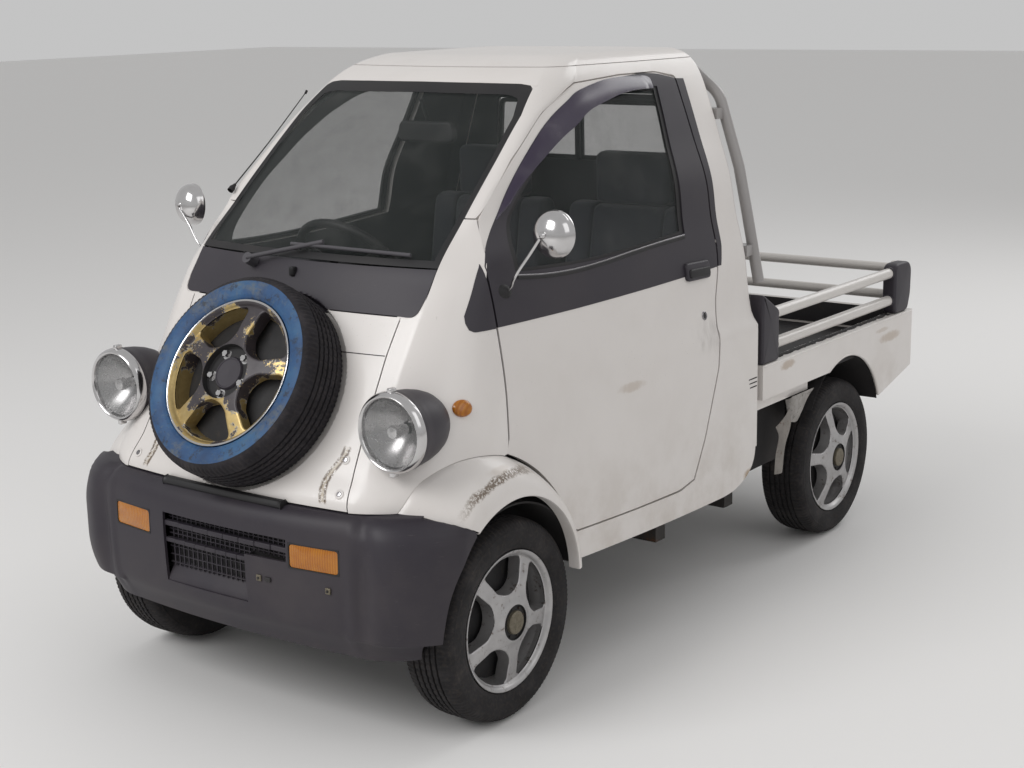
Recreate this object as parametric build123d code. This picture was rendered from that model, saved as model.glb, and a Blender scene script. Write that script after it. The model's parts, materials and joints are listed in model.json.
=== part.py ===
from build123d import *
import math
import os

# Two-seat kei pickup truck with a rounded, tapering cab and a short open bed.
# Millimetres. +Z is up, the truck faces -Y, and its left side is at +X.
# The origin is on the ground under the centre of the truck's outer box.

# Whole vehicle
HALF_LENGTH = 1395.0
HALF_WIDTH = 640.0
FRONT_AXLE_Y = -965.0
REAR_AXLE_Y = 875.0

# Wheels
TYRE_R = 264.0
TYRE_W = 155.0
RIM_R = 182.5
WHEEL_X = 534.0
SPOKES = 5
HUB_R = 52.0

# Running clearances: at a resting seat, round a pin and between moving bodies
SEAT_GAP = 0.3
PIN_GAP = 0.05
MOVE_GAP = 5.5

# Steering: a leaning axis through the ball joint and the strut top
STEER_X = 466.0
STEER_LEAN = 0.19
STRUT_TOP_Z = 640.0
STRUT_END_Z = 558.0
STRUT_R = 20.0
BALL_SEAT_Z = 165.0
HUB_FACE = 44.0

# Cab
CAB_REAR_Y = 270.0
SILL_Z = 334.0
NOSE_Z = 606.0
ROOF_Z = 1650.0
WALL = 40.0
GLASS_T = 6.0
SEAM_W = 4.0
SEAM_DEPTH = 8.0
DOOR_GAP = 7.0
DOOR_HINGE_X = 552.0
DOOR_HINGE_Y = -880.0
HINGE_PIN_R = 3.5
DOOR_TRIM = 6.0
FENDER_BACK_Y = -881.0
COWL_LOW_Z = 1039.0
GLASS_LOW_Z = 1150.0
GLASS_TOP_Z = 1571.0
NOSE_HALF = 392.0
FENDER_TOP_Z = 1258.0

# Front wheel arch: the seam on the body and the lip round the wheel
SEAM_ARCH_Y = -1030.0
SEAM_ARCH_Z = 310.0
SEAM_ARCH_R = 395.0
LIP_Y = -982.0
LIP_Z = 327.0
LIP_R = 270.0
FLARE_X = 645.0
FLARE_T = 12.0
WELL_T = 5.0
WELL_X = 300.0
WELL_OUT_X = 608.0

# Bumper
BUMPER_LOW_Z = 236.0
BUMPER_TOP_Z = 602.0
BUMPER_T = 14.0

# Bed
BED_FLOOR_Z = 600.0
BED_TOP_Z = 690.0
BED_FRONT_Y = 290.0
BED_T = 25.0
BED_FLOOR_T = 14.0
REAR_ARCH_Z = 342.0
REAR_ARCH_R = 272.0
RAIL_TUBE_R = 18.0
RAIL_LOW_Z = 738.0
RAIL_HIGH_Z = 834.0
POST_TOP_Z = 866.0
GATE_T = 26.0

# Chassis
RAIL_X = 250.0
RAIL_W = 45.0
RAIL_H = 70.0
RAIL_Z = 262.0
RAIL_KICK = 150.0
FLOOR_Z = 372.0
FLOOR_T = 12.0

# Cab outline, one row for each level. The front is an arc through the middle,
# the corner an arc through the cheek, the side an arc through the waist.
# z, y_mid, x_edge, y_edge, x_cheek, y_cheek, x_door, y_door, x_waist, y_waist, x_rear, y_rear
CAB_LEVELS = (
    (SILL_Z, -1345, 400, -1322, 505, -1245, 560, -900, 625, -300, 640, CAB_REAR_Y),
    (610, -1343, 398, -1318, 503, -1250, 560, -900, 625, -300, 640, CAB_REAR_Y),
    (690, -1296, 400, -1269, 503, -1200, 560, -900, 625, -300, 640, CAB_REAR_Y),
    (820, -1219, 405, -1191, 500, -1120, 556, -900, 620, -300, 640, CAB_REAR_Y),
    (855, -1198, 406, -1170, 497, -1100, 553, -900, 612, -300, 618, CAB_REAR_Y),
    (1039, -1088, 414, -1060, 485, -1000, 523, -900, 581, -300, 590, CAB_REAR_Y),
    (1110, -1052, 413, -1008, 475, -960, 507, -898, 565, -300, 572, CAB_REAR_Y),
    (1150, -1027, 411, -979, 463, -930, 497, -890, 555, -300, 561, CAB_REAR_Y),
    (1264, -897, 402, -853, 424, -852, 441, -840, 530, -300, 539, CAB_REAR_Y),
    (1394, -745, 394, -706, 414, -703, 430, -682, 485, -200, 497, CAB_REAR_Y),
    (1497, -622, 384, -584, 399, -574, 412, -527, 447, -150, 461, CAB_REAR_Y),
    (1571, -528, 368, -483, 385, -455, 396, -350, 422, -50, 430, 268),
    (1615, -440, 338, -400, 358, -375, 368, -300, 392, -40, 400, 258),
    (1640, -340, 290, -310, 312, -288, 326, -230, 348, -20, 355, 232),
    (ROOF_Z, -250, 220, -232, 240, -215, 256, -180, 276, 0, 280, 190),
)
# Front walls lean, so a level is moved back further than it is moved in.
LEAN_FACTOR = 1.35
ROOF_T = 28.0

# Door outline in Y and Z from the hinge edge round to the flare seam.
DOOR_FRONT = ((-900, 1118), (-845, 1262), (-682, 1396), (-527, 1500), (-354, 1566))
DOOR_TOP = ((-150, 1580), (20, 1580), (112, 1560))
DOOR_REAR = ((98, 1080), (79, 1004), (50, 930), (28, 820), (20, 740), (-55, 540))
DOOR_LOW = ((-110, 432), (-180, 414), (-640, 420))
SIDE_GLASS = (
    (-800, 1124), (-772, 1235), (-640, 1352), (-500, 1446),
    (-360, 1512), (-220, 1540), (18, 1540), (-50, 1133),
)
WINDOW_LAP = 14.0


def pair(solid):
    """The solid and its mirror image on the other side of the truck."""
    return Compound(children=[solid, mirror(solid, about=Plane.YZ)])


def box(x0, x1, y0, y1, z0, z1):
    """Block between two corners."""
    size = Box(x1 - x0, y1 - y0, z1 - z0)
    return Pos((x0 + x1) / 2, (y0 + y1) / 2, (z0 + z1) / 2) * size


def rod(start, end, radius):
    """Round bar from one point to another."""
    a = Vector(*start)
    b = Vector(*end)
    plane = Plane(origin=a, z_dir=b - a)
    return extrude(plane * Circle(radius), (b - a).length)


def prism_x(points, x0, x1):
    """Outline in Y and Z carried along X."""
    face = Plane.YZ.offset(x0) * make_face(Polyline(*points, close=True))
    return extrude(face, x1 - x0)


def wheel_disc(y, z, radius, x0, x1):
    """Round disc about an axle line, from x0 to x1."""
    return extrude(Plane.YZ.offset(x0) * Pos(y, z) * Circle(radius), x1 - x0)


def cab_section(row, inset):
    """Closed outline of the cab at one level, moved in by the inset."""
    z, ym, xe, ye, xc, yc, xd, yd, xw, yw, xr, yr = row
    back = inset * LEAN_FACTOR
    mid = (0, ym + back, z)
    edge = (xe - inset * 0.6, ye + back, z)
    cheek = (xc - inset * 0.85, yc + back * 0.9, z)
    door = (xd - inset, yd + inset * 0.6, z)
    waist = (xw - inset, yw, z)
    rear = (xr - inset, yr - inset, z)

    def flip(p):
        return (-p[0], p[1], p[2])

    edges = [
        ThreePointArc(flip(edge), mid, edge),
        ThreePointArc(edge, cheek, door),
        ThreePointArc(door, waist, rear),
        Line(rear, flip(rear)),
        ThreePointArc(flip(rear), flip(waist), flip(door)),
        ThreePointArc(flip(door), flip(cheek), flip(edge)),
    ]
    return make_face(Wire(edges))


def cab_form(inset, inside=False):
    """Solid cab form. The inner form stops under the roof's thickness."""
    rows = list(CAB_LEVELS)
    if inside:
        lowered = []
        for row in rows[:-1]:
            drop = ROOF_T * min(1.0, max(0.0, (row[0] - 1497) / 74.0))
            lowered.append((row[0] - drop,) + row[1:])
        rows = lowered
    return loft([cab_section(row, inset) for row in rows], ruled=True)


def grown(points, amount):
    """An outline moved outwards, or inwards when the amount is negative."""
    face = make_face(Polyline(*points, close=True))
    moved = offset(face, amount, kind=Kind.INTERSECTION)
    return moved.face()


def side_prism(points, amount, x0, x1):
    """Outline in Y and Z, grown by an amount and carried along X."""
    return extrude(Plane.YZ.offset(x0) * grown(points, amount), x1 - x0)


def seam_arch(radius, x0, x1):
    """Disc that the flare's seam follows."""
    return wheel_disc(SEAM_ARCH_Y, SEAM_ARCH_Z, radius, x0, x1)


# The cab's rear lower corner is cut away, as an outline in Y and Z.
CORNER = ((163, 300), (163, 362), (216, 424), (272, 551), (340, 551), (340, 300))


def cab_hollow(gap):
    """Space inside the cab's wall, drawn in by a gap."""
    return cab_form(WALL + gap, inside=True) - side_prism(CORNER, WALL + gap, -700, 700)


def seam_groove(points):
    """Shallow band along an outline in X and Z on the cab's front."""
    band = front_region(points, SEAM_W / 2) - front_region(points, -SEAM_W / 2)
    return band & CAB_SKIN


front_plane = Plane(origin=(0, -1500, 0), x_dir=(1, 0, 0), z_dir=(0, -1, 0))


def front_region(points, amount):
    """Region of the front wall inside an outline in X and Z."""
    return extrude(front_plane * grown(points, amount), -700)


COWL = ((-414, COWL_LOW_Z), (414, COWL_LOW_Z), (411, GLASS_LOW_Z), (-411, GLASS_LOW_Z))
NOSE = ((-NOSE_HALF, NOSE_Z), (NOSE_HALF, NOSE_Z), (NOSE_HALF, 780), (414, COWL_LOW_Z),
        (-414, COWL_LOW_Z), (-NOSE_HALF, 780))

CAB_OUTER = cab_form(0) - side_prism(CORNER, 0, -700, 700)
CAB_INNER = cab_hollow(0)
CAB_GLASS = cab_form(3) - cab_form(3 + GLASS_T)
CAB_SKIN = cab_form(0) - cab_form(SEAM_DEPTH)
CAB_WALL = CAB_OUTER - CAB_INNER
SHELL = CAB_WALL - box(-700, 700, -1500, -900, 0, NOSE_Z)
SHELL -= pair(seam_arch(SEAM_ARCH_R, WELL_X, 760))
SHELL -= seam_groove(COWL) + seam_groove(NOSE)
SIDE_X0 = 352.0
SIDE_X1 = 760.0

# Doors
DOOR_OUTLINE = ((-900, 420),) + DOOR_FRONT + DOOR_TOP + DOOR_REAR + DOOR_LOW
# The door's own upper rear corner is trimmed, because it swings back as it opens.
DOOR_TOP_TRIMMED = DOOR_TOP[:-1] + ((DOOR_TOP[-1][0] - DOOR_TRIM, DOOR_TOP[-1][1]),)
DOOR_OUTLINE_TRIMMED = ((-900, 420),) + DOOR_FRONT + DOOR_TOP_TRIMMED + DOOR_REAR + DOOR_LOW
DOOR_SPACE = side_prism(DOOR_OUTLINE, DOOR_GAP / 2, SIDE_X0, SIDE_X1)
DOOR_SPACE -= seam_arch(SEAM_ARCH_R, SIDE_X0, SIDE_X1)
DOOR_BODY = side_prism(DOOR_OUTLINE_TRIMMED, -DOOR_GAP / 2, SIDE_X0, SIDE_X1)
DOOR_BODY -= seam_arch(SEAM_ARCH_R + DOOR_GAP, SIDE_X0, SIDE_X1)
WINDOW_HOLE = side_prism(SIDE_GLASS, 0, SIDE_X0, SIDE_X1)

door_left = (SHELL & DOOR_BODY) - WINDOW_HOLE
# The door turns on a pin that stands on the fender, under its front edge.
HINGE_LOW_Z = 655.0
HINGE_TOP_Z = 725.0
door_left -= rod((DOOR_HINGE_X, DOOR_HINGE_Y, HINGE_LOW_Z),
                 (DOOR_HINGE_X, DOOR_HINGE_Y, HINGE_TOP_Z + 1), HINGE_PIN_R + PIN_GAP)
# Pull handle on the skin, under the window's rear end
HANDLE_FRONT_Y = -106.0
HANDLE_LENGTH = 143.0
HANDLE_Z = 1028.0
HANDLE_H = 34.0
HANDLE_OUT_X = 597.0
handle = box(DOOR_HINGE_X, HANDLE_OUT_X, HANDLE_FRONT_Y, HANDLE_FRONT_Y + HANDLE_LENGTH, HANDLE_Z - HANDLE_H / 2,
             HANDLE_Z + HANDLE_H / 2)
handle = fillet(handle.edges().filter_by(Axis.X), 10)
handle = chamfer(handle.faces().sort_by(Axis.X)[-1].edges(), 5)
door_left += handle - CAB_INNER
side_glass_left = CAB_GLASS & side_prism(SIDE_GLASS, -0.5, SIDE_X0, SIDE_X1)

# Fixed panels of the cab
SHELL_REST = SHELL - DOOR_SPACE - mirror(DOOR_SPACE, about=Plane.YZ)

SCREEN = (
    (-411, GLASS_LOW_Z), (411, GLASS_LOW_Z), (404, 1264),
    (396, 1394), (386, 1497), (366, 1560), (340, GLASS_TOP_Z),
    (-340, GLASS_TOP_Z), (-366, 1560), (-386, 1497), (-396, 1394), (-404, 1264),
)
SCREEN_DEPTH = 1170.0
SCREEN_HOLE = extrude(front_plane * grown(SCREEN, 0), -SCREEN_DEPTH)
SCREEN_FIT = extrude(front_plane * grown(SCREEN, -SEAT_GAP), -SCREEN_DEPTH)
windscreen = CAB_GLASS & SCREEN_FIT
SHELL_REST -= SCREEN_HOLE

cowl_panel = SHELL_REST & front_region(COWL, -SEAT_GAP / 2)
nose_panel = SHELL_REST & front_region(NOSE, -SEAT_GAP / 2)
FRONT_REST = SHELL_REST - front_region(COWL, SEAT_GAP / 2) - front_region(NOSE, SEAT_GAP / 2)

FENDER_SPACE = box(300, 760, -1500, FENDER_BACK_Y, 0, FENDER_TOP_Z)
fender_skin = FRONT_REST & FENDER_SPACE
CAB_REST = FRONT_REST - box(-760, 760, -1500, FENDER_BACK_Y + SEAT_GAP, 0, FENDER_TOP_Z + SEAT_GAP)
CAB_REST -= pair(seam_arch(SEAM_ARCH_R + SEAT_GAP, WELL_X, 760))

ROOF_CUT_Z = 1612.0
REAR_CUT_Y = 215.0
REAR_WALL = ((-540, 560), (540, 560), (540, 1040), (400, 1500), (-400, 1500), (-540, 1040))
rear_plane = Plane(origin=(0, 400, 0), x_dir=(1, 0, 0), z_dir=(0, -1, 0))
REAR_DEPTH = 400 - REAR_CUT_Y
roof_panel = CAB_REST & box(-760, 760, -900, 400, ROOF_CUT_Z, 1800)
CAB_REST -= box(-760, 760, -900, 400, ROOF_CUT_Z - SEAT_GAP, 1800)
rear_panel = CAB_REST & extrude(rear_plane * grown(REAR_WALL, 0), REAR_DEPTH)
CAB_REST -= extrude(rear_plane * grown(REAR_WALL, SEAT_GAP), REAR_DEPTH + SEAT_GAP)

REAR_GLASS = ((-330, 1290), (330, 1290), (318, 1470), (300, 1480), (-300, 1480), (-318, 1470))
rear_panel -= extrude(rear_plane * grown(REAR_GLASS, 0), 200)
rear_glass = CAB_GLASS & extrude(rear_plane * grown(REAR_GLASS, -SEAT_GAP), 200)

cab_frame = CAB_REST

# Flares: a bowl over each front wheel, from the body seam out to the lip.
# x, radius, share of the way from seam centre to lip centre, turn about Z
FLARE_RINGS = (
    (430, SEAM_ARCH_R + 1, 0.0, 8), (534, SEAM_ARCH_R, 0.0, 8), (583, 368, 0.25, 6),
    (616, 338, 0.5, 4), (637, 305, 0.8, 2), (FLARE_X, LIP_R + 4, 1.0, 0),
)


def flare_form(shrink):
    """Bowl through the flare's rings."""
    rings = []
    for x, radius, share, turn in FLARE_RINGS:
        y = SEAM_ARCH_Y + (LIP_Y - SEAM_ARCH_Y) * share
        z = SEAM_ARCH_Z + (LIP_Z - SEAM_ARCH_Z) * share
        t = math.radians(turn)
        plane = Plane(
            origin=(x - shrink * 0.8, y, z),
            x_dir=(math.sin(t), math.cos(t), 0),
            z_dir=(math.cos(t), -math.sin(t), 0),
        )
        rings.append(plane * Circle(radius - shrink))
    return loft(rings, ruled=True)


# The line where flare and bumper meet, with the space of the bumper ahead of it
SPLIT = ((-1600, NOSE_Z), (-1262, NOSE_Z), (-1180, 515), (-1180, -100), (-1600, -100))
LIP_DISC = wheel_disc(LIP_Y, LIP_Z, LIP_R, WELL_OUT_X, 700)
# A steered tyre sweeps the arch out to this radius.
SWEEP_R = math.hypot(TYRE_R, WHEEL_X + TYRE_W / 2 - STEER_X) + MOVE_GAP
SWEEP_DISC = wheel_disc(FRONT_AXLE_Y, TYRE_R, SWEEP_R, WELL_X - 2, WELL_OUT_X + 2)
LIP_RELIEF = wheel_disc(FRONT_AXLE_Y, TYRE_R, TYRE_R + 15, WELL_OUT_X, 700)
FLARE_HOLLOW = flare_form(FLARE_T)
flare = flare_form(0) - CAB_OUTER + (CAB_WALL & seam_arch(SEAM_ARCH_R, WELL_X, 760))
flare -= FLARE_HOLLOW + LIP_DISC + SWEEP_DISC + LIP_RELIEF
flare -= side_prism(SPLIT, SEAT_GAP / 2, 0, 760)
flare -= box(0, 760, -1500, 0, -200, SILL_Z)
flare -= front_region(NOSE, SEAT_GAP / 2)
flare = flare.solids().sort_by(SortBy.VOLUME)[-1]
fender_left = fender_skin + flare
fender_left += rod((DOOR_HINGE_X, DOOR_HINGE_Y, HINGE_LOW_Z), (DOOR_HINGE_X, DOOR_HINGE_Y, HINGE_TOP_Z),
                   HINGE_PIN_R)

# Bumper outline, one row for each level.
# z, y_mid, x_face, y_face, x_corner, y_corner, x_end, y_end
BUMPER_LEVELS = (
    (BUMPER_LOW_Z, -1335, 380, -1315, 490, -1282, 550, -1205),
    (290, -1368, 390, -1345, 520, -1300, 585, -1205),
    (298, -1380, 400, -1352, 565, -1302, 640, -1200),
    (400, -1393, 405, -1361, 580, -1312, 644, -1200),
    (480, -HALF_LENGTH, 405, -1362, 580, -1312, FLARE_X, -1200),
    (556, -1392, 400, -1358, 572, -1300, 641, -1190),
    (588, -1378, 398, -1346, 556, -1285, 628, -1180),
    (BUMPER_TOP_Z, -1356, 394, -1330, 535, -1270, 608, -1172),
)
BUMPER_BACK_Y = -1150.0


def bumper_form(inset):
    """Solid bumper form, or its hollow when there is an inset."""
    sections = []
    for z, ym, xf, yf, xc, yc, xe, ye in BUMPER_LEVELS:
        level = z - inset if z > 500 else z + (inset if z > 250 else 0)
        front = (xf, yf + inset, level)
        corner = (xc - inset * 0.7, yc + inset * 0.7, level)
        end = (xe - inset, ye, level)
        back = (xe - inset, BUMPER_BACK_Y + inset, level)

        def flip(p):
            return (-p[0], p[1], p[2])

        sections.append(make_face(Wire([
            ThreePointArc(flip(front), (0, ym + inset, level), front),
            ThreePointArc(front, corner, end),
            Line(end, back),
            Line(back, flip(back)),
            Line(flip(back), flip(end)),
            ThreePointArc(flip(end), flip(corner), flip(front)),
        ])))
    return loft(sections, ruled=True)


INTAKE_X0 = -190.0
INTAKE_X1 = 238.0
INTAKE_X2 = 105.0
INTAKE_TOP_Z = 530.0
INTAKE_MID_Z = 470.0
INTAKE_LOW_Z = 345.0
SLAT_T = 10.0
LAMP_X0 = 245.0
LAMP_X1 = 398.0
LAMP_Z0 = 452.0
LAMP_Z1 = 517.0
PAD_X = 208.0
INTAKE_BACK_Y = -1352.0

bumper = bumper_form(0) - bumper_form(BUMPER_T)
bumper -= box(-700, 700, BUMPER_BACK_Y - 40, 0, 0, 700)
bumper &= side_prism(SPLIT, -SEAT_GAP / 2, -700, 700)
bumper -= pair(LIP_DISC + SWEEP_DISC + LIP_RELIEF)
lamp_space = box(LAMP_X0, LAMP_X1, -1450, -1300, LAMP_Z0, LAMP_Z1)
lamp_skin = bumper & lamp_space
bumper -= pair(box(LAMP_X0 - SEAT_GAP, LAMP_X1 + SEAT_GAP, -1450, -1300, LAMP_Z0 - SEAT_GAP,
                   LAMP_Z1 + SEAT_GAP))
bumper -= box(INTAKE_X0, INTAKE_X1, -1450, INTAKE_BACK_Y, INTAKE_MID_Z, INTAKE_TOP_Z)
bumper -= box(INTAKE_X0, INTAKE_X2, -1450, INTAKE_BACK_Y, INTAKE_LOW_Z, INTAKE_MID_Z)
for z, x1 in ((492, INTAKE_X1), (432, INTAKE_X2), (388, INTAKE_X2)):
    bumper += box(INTAKE_X0, x1, -1384, INTAKE_BACK_Y, z - SLAT_T / 2, z + SLAT_T / 2)
bumper += box(INTAKE_X0 - 12, INTAKE_X1 - 6, INTAKE_BACK_Y - 1, INTAKE_BACK_Y + 12, INTAKE_LOW_Z - 12,
              INTAKE_TOP_Z + 12)
bumper += box(-PAD_X, PAD_X, -1360, -1350, BUMPER_TOP_Z - 6, BUMPER_TOP_Z + 14)
# Holes for a number plate's bolts, beside the intake
PLATE_X0 = 150.0
PLATE_PITCH = 210.0
PLATE_Z = 418.0
PLATE_HOLE_R = 4.0
for x in (PLATE_X0, PLATE_X0 + PLATE_PITCH):
    bumper -= rod((x, -1450, PLATE_Z), (x, -1340, PLATE_Z), PLATE_HOLE_R)
# Brackets reach back to the ends of the chassis rails.
RAIL_FRONT_Y = -1310.0
bracket = box(RAIL_X + 5, RAIL_X + RAIL_W - 5, -1390, RAIL_FRONT_Y - SEAT_GAP, RAIL_Z + 8, RAIL_Z + RAIL_H - 8)
bumper += pair(bracket & bumper_form(2))

# Headlamps stand out of the cheeks on round shells.
HEADLAMP_X = 480.0
HEADLAMP_Y = -1262.0
HEADLAMP_Z = 802.0
HEADLAMP_R = 97.0
LENS_R = 86.0
# radius and distance behind the front rim
LAMP_PROFILE = ((0, 14), (LENS_R, 14), (LENS_R, 0), (HEADLAMP_R - 4, -3), (HEADLAMP_R, 6),
                (HEADLAMP_R, 30), (HEADLAMP_R - 3, 34), (HEADLAMP_R - 5, 80), (78, 130),
                (50, 165), (0, 180))
# The lens is a shallow dome in the rim.
LENS_EDGE_R = LENS_R - SEAT_GAP
LENS_PROFILE = ((0, 13.7), (LENS_EDGE_R, 13.7), (LENS_EDGE_R, 2), (60, -6), (0, -11))


def lamp_turned(profile):
    """Solid turned about a headlamp's own axis, which points forward."""
    plane = Plane(origin=(HEADLAMP_X, HEADLAMP_Y, HEADLAMP_Z), x_dir=(1, 0, 0), z_dir=(0, 0, 1))
    face = plane * make_face(Polyline(*profile, close=True))
    return revolve(face, Axis((HEADLAMP_X, HEADLAMP_Y, HEADLAMP_Z), (0, 1, 0)))


headlamp_shell = lamp_turned(LAMP_PROFILE) - CAB_OUTER
headlamp_lens = lamp_turned(LENS_PROFILE)

# Wheels are made about the X axis with the outer face at +X.
RIM_HALF = 71.0
BEAD_R = 165.0
# distance outward from the wheel's middle, radius
TYRE_PROFILE = (
    (-58, 0), (-58, 1), (-71.5, 2), (-77.5, 42), (-73, 66), (-60, 78), (-36, 81),
    (36, 81), (60, 78), (73, 66), (77.5, 42), (71.5, 2), (58, 1), (58, 0),
)
DISC_OUT = ((91, 0), (91, 40), (82, 50), (76, 64), (68, 118), (58, 158))
DISC_IN = ((36, 158), (44, 118), (50, 64), (44, 50), (44, 0))
WINDOW_HALF_ANGLE = 23.0


def turned_x(points):
    """Solid turned about the X axis from points of X and radius."""
    face = Plane.XY * make_face(Polyline(*points, close=True))
    return revolve(face, Axis.X)


def rim_solid(rim_r):
    """Alloy rim with a drop barrel and broad spokes round a plain cap."""
    step = rim_r - RIM_R
    bead = BEAD_R + step
    barrel = turned_x((
        (-RIM_HALF, rim_r), (-RIM_HALF + 6, rim_r), (-RIM_HALF + 9, bead), (RIM_HALF - 9, bead),
        (RIM_HALF - 6, rim_r), (RIM_HALF, rim_r), (RIM_HALF - 2, bead - 7), (30, bead - 12),
        (10, bead - 28), (-30, bead - 28), (-RIM_HALF + 14, bead - 6), (-RIM_HALF, rim_r - 8),
    ))
    disc = turned_x([(x, r) for x, r in DISC_OUT[:-1]] + [(58, bead - 9), (36, bead - 9)]
                    + [(x, r) for x, r in DISC_IN[1:]])
    half = math.radians(WINDOW_HALF_ANGLE)
    for k in range(SPOKES):
        mid = 2 * math.pi * (k + 0.5) / SPOKES
        corners = []
        for radius, turn in ((bead - 17, -half), (bead - 17, half), (bead - 55, half * 1.05),
                             (76, half * 0.55), (76, -half * 0.55), (bead - 55, -half * 1.05)):
            corners.append((radius * math.cos(mid + turn), radius * math.sin(mid + turn)))
        window = make_face(Polyline(*corners, close=True))
        window = fillet(window.vertices(), 13)
        disc -= extrude(Plane.YZ.offset(10) * window, 100)
    return barrel + disc


def tyre_points(rim_r, tyre_r):
    """Outer profile of a tyre on a rim, as points of X and radius."""
    base = rim_r + SEAT_GAP
    scale = (tyre_r - base) / 81.0
    return [(x, base + r * scale) for x, r in TYRE_PROFILE]


def tyre_solid(rim_r, tyre_r):
    """Tyre seated on a rim, solid through to the bead."""
    base = rim_r + SEAT_GAP
    bead = BEAD_R + (rim_r - RIM_R) + SEAT_GAP
    inner = RIM_HALF - 9 - SEAT_GAP
    outer = tyre_points(rim_r, tyre_r)[1:-1]
    return turned_x([(-inner, bead), (-inner, base)] + outer + [(inner, base), (inner, bead)])


RIM = rim_solid(RIM_R)
TYRE = tyre_solid(RIM_R, TYRE_R)

# Spare wheel on the nose, its outer face turned forward and up.
SPARE_FACE_Y = -1323.0
SPARE_FACE_Z = 910.0
SPARE_TILT = 31.2
SPARE_RIM_R = 194.0
SPARE_SINK = 4.0
tilt = math.radians(SPARE_TILT)
SPARE_N = Vector(0, -math.cos(tilt), math.sin(tilt))
SPARE_FACE = Vector(0, SPARE_FACE_Y, SPARE_FACE_Z)
spare_mid = SPARE_FACE - SPARE_N * (TYRE_W / 2)
spare_plane = Plane(origin=spare_mid, x_dir=SPARE_N, z_dir=(1, 0, 0))
spare_rim = spare_plane.location * rim_solid(SPARE_RIM_R)
spare_tyre = spare_plane.location * tyre_solid(SPARE_RIM_R, TYRE_R)
spare_back = SPARE_FACE - SPARE_N * (TYRE_W + SPARE_SINK)
dish_plane = Plane(origin=spare_back, x_dir=(1, 0, 0), z_dir=SPARE_N)
DISH_R = TYRE_R + 10
CARRIER_R = 62.0
DISH_FLOOR_T = 4.0
dish_cut = extrude(dish_plane * Circle(DISH_R), 200)
dish = extrude(dish_plane.offset(-DISH_FLOOR_T) * Circle(DISH_R + DISH_FLOOR_T), 200) & CAB_OUTER
nose_panel = nose_panel + (dish & front_region(NOSE, -SEAT_GAP / 2)) - dish_cut
cowl_panel -= dish_cut
carrier_length = SPARE_SINK + TYRE_W / 2 + HUB_FACE - SEAT_GAP
nose_panel += extrude(dish_plane.offset(-2) * Circle(CARRIER_R), carrier_length + 2)

# Rear body: floor, side panels with arches, front wall, end posts and side tubes
REAR_END_Y = HALF_LENGTH
GATE_BACK_Y = REAR_END_Y - 6
GATE_FRONT_Y = GATE_BACK_Y - GATE_T
GATE_HINGE_Y = GATE_BACK_Y - 8
GATE_HINGE_Z = BED_FLOOR_Z + 16
GATE_LOW_Z = BED_FLOOR_Z + 4
GATE_PIN_R = 5.0
# How far the gate's lower corner swings round the hinge
GATE_SWING = math.hypot(GATE_HINGE_Y - GATE_FRONT_Y, GATE_HINGE_Z - GATE_LOW_Z)
BED_IN_X = HALF_WIDTH - BED_T
# End blocks stand inside the bed's sides, and the gate runs between them.
END_BLOCK_W = 27.0
GATE_GAP = 6.0
GATE_BLOCK_X = BED_IN_X - END_BLOCK_W
GATE_HALF = GATE_BLOCK_X - GATE_GAP
BED_BACK_Y = GATE_HINGE_Y - GATE_SWING - MOVE_GAP
ARCH_DISC = wheel_disc(REAR_AXLE_Y, REAR_ARCH_Z, REAR_ARCH_R, 380, 700)
SIDE_LOW_Z = BED_FLOOR_Z - 18
SKIRT_Z = 428.0
SKIRT_FRONT_Y = REAR_AXLE_Y - 235
SKIRT_REAR_Y = REAR_AXLE_Y + 262
TAIL_LOW_Z = 490.0
SIDE_OUTLINE = (
    (BED_FRONT_Y, SIDE_LOW_Z), (BED_FRONT_Y, BED_TOP_Z), (REAR_END_Y, BED_TOP_Z), (REAR_END_Y, TAIL_LOW_Z),
    (SKIRT_REAR_Y, SKIRT_Z), (SKIRT_FRONT_Y, SKIRT_Z), (SKIRT_FRONT_Y, SIDE_LOW_Z),
)
bed_side = prism_x(SIDE_OUTLINE, BED_IN_X, HALF_WIDTH) - ARCH_DISC
bed_side -= box(BED_IN_X - 1, HALF_WIDTH + 1, 0, REAR_AXLE_Y, 0, SIDE_LOW_Z)
UNDER_RAIL_W = 40.0
UNDER_RAIL_H = 40.0
BED_UNDER_Z = BED_FLOOR_Z - BED_FLOOR_T
under_rail = box(BED_IN_X - UNDER_RAIL_W, BED_IN_X, BED_FRONT_Y, SKIRT_FRONT_Y,
                 BED_UNDER_Z - SEAT_GAP - UNDER_RAIL_H, BED_UNDER_Z - SEAT_GAP)
bed_side += under_rail - ARCH_DISC
FLANGE_W = 19.0
FLANGE_T = 12.0
REAR_POST_Y = REAR_END_Y - 143
bed_side += box(BED_IN_X - FLANGE_W, BED_IN_X, BED_FRONT_Y + 110, REAR_POST_Y - 2, BED_TOP_Z - FLANGE_T, BED_TOP_Z)
bed_side += box(GATE_BLOCK_X, BED_IN_X, GATE_FRONT_Y, GATE_BACK_Y, BED_FLOOR_Z - 6, BED_TOP_Z)
bed_side += wheel_disc(GATE_HINGE_Y, GATE_HINGE_Z, GATE_PIN_R, GATE_HALF - 15, GATE_BLOCK_X)

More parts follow.
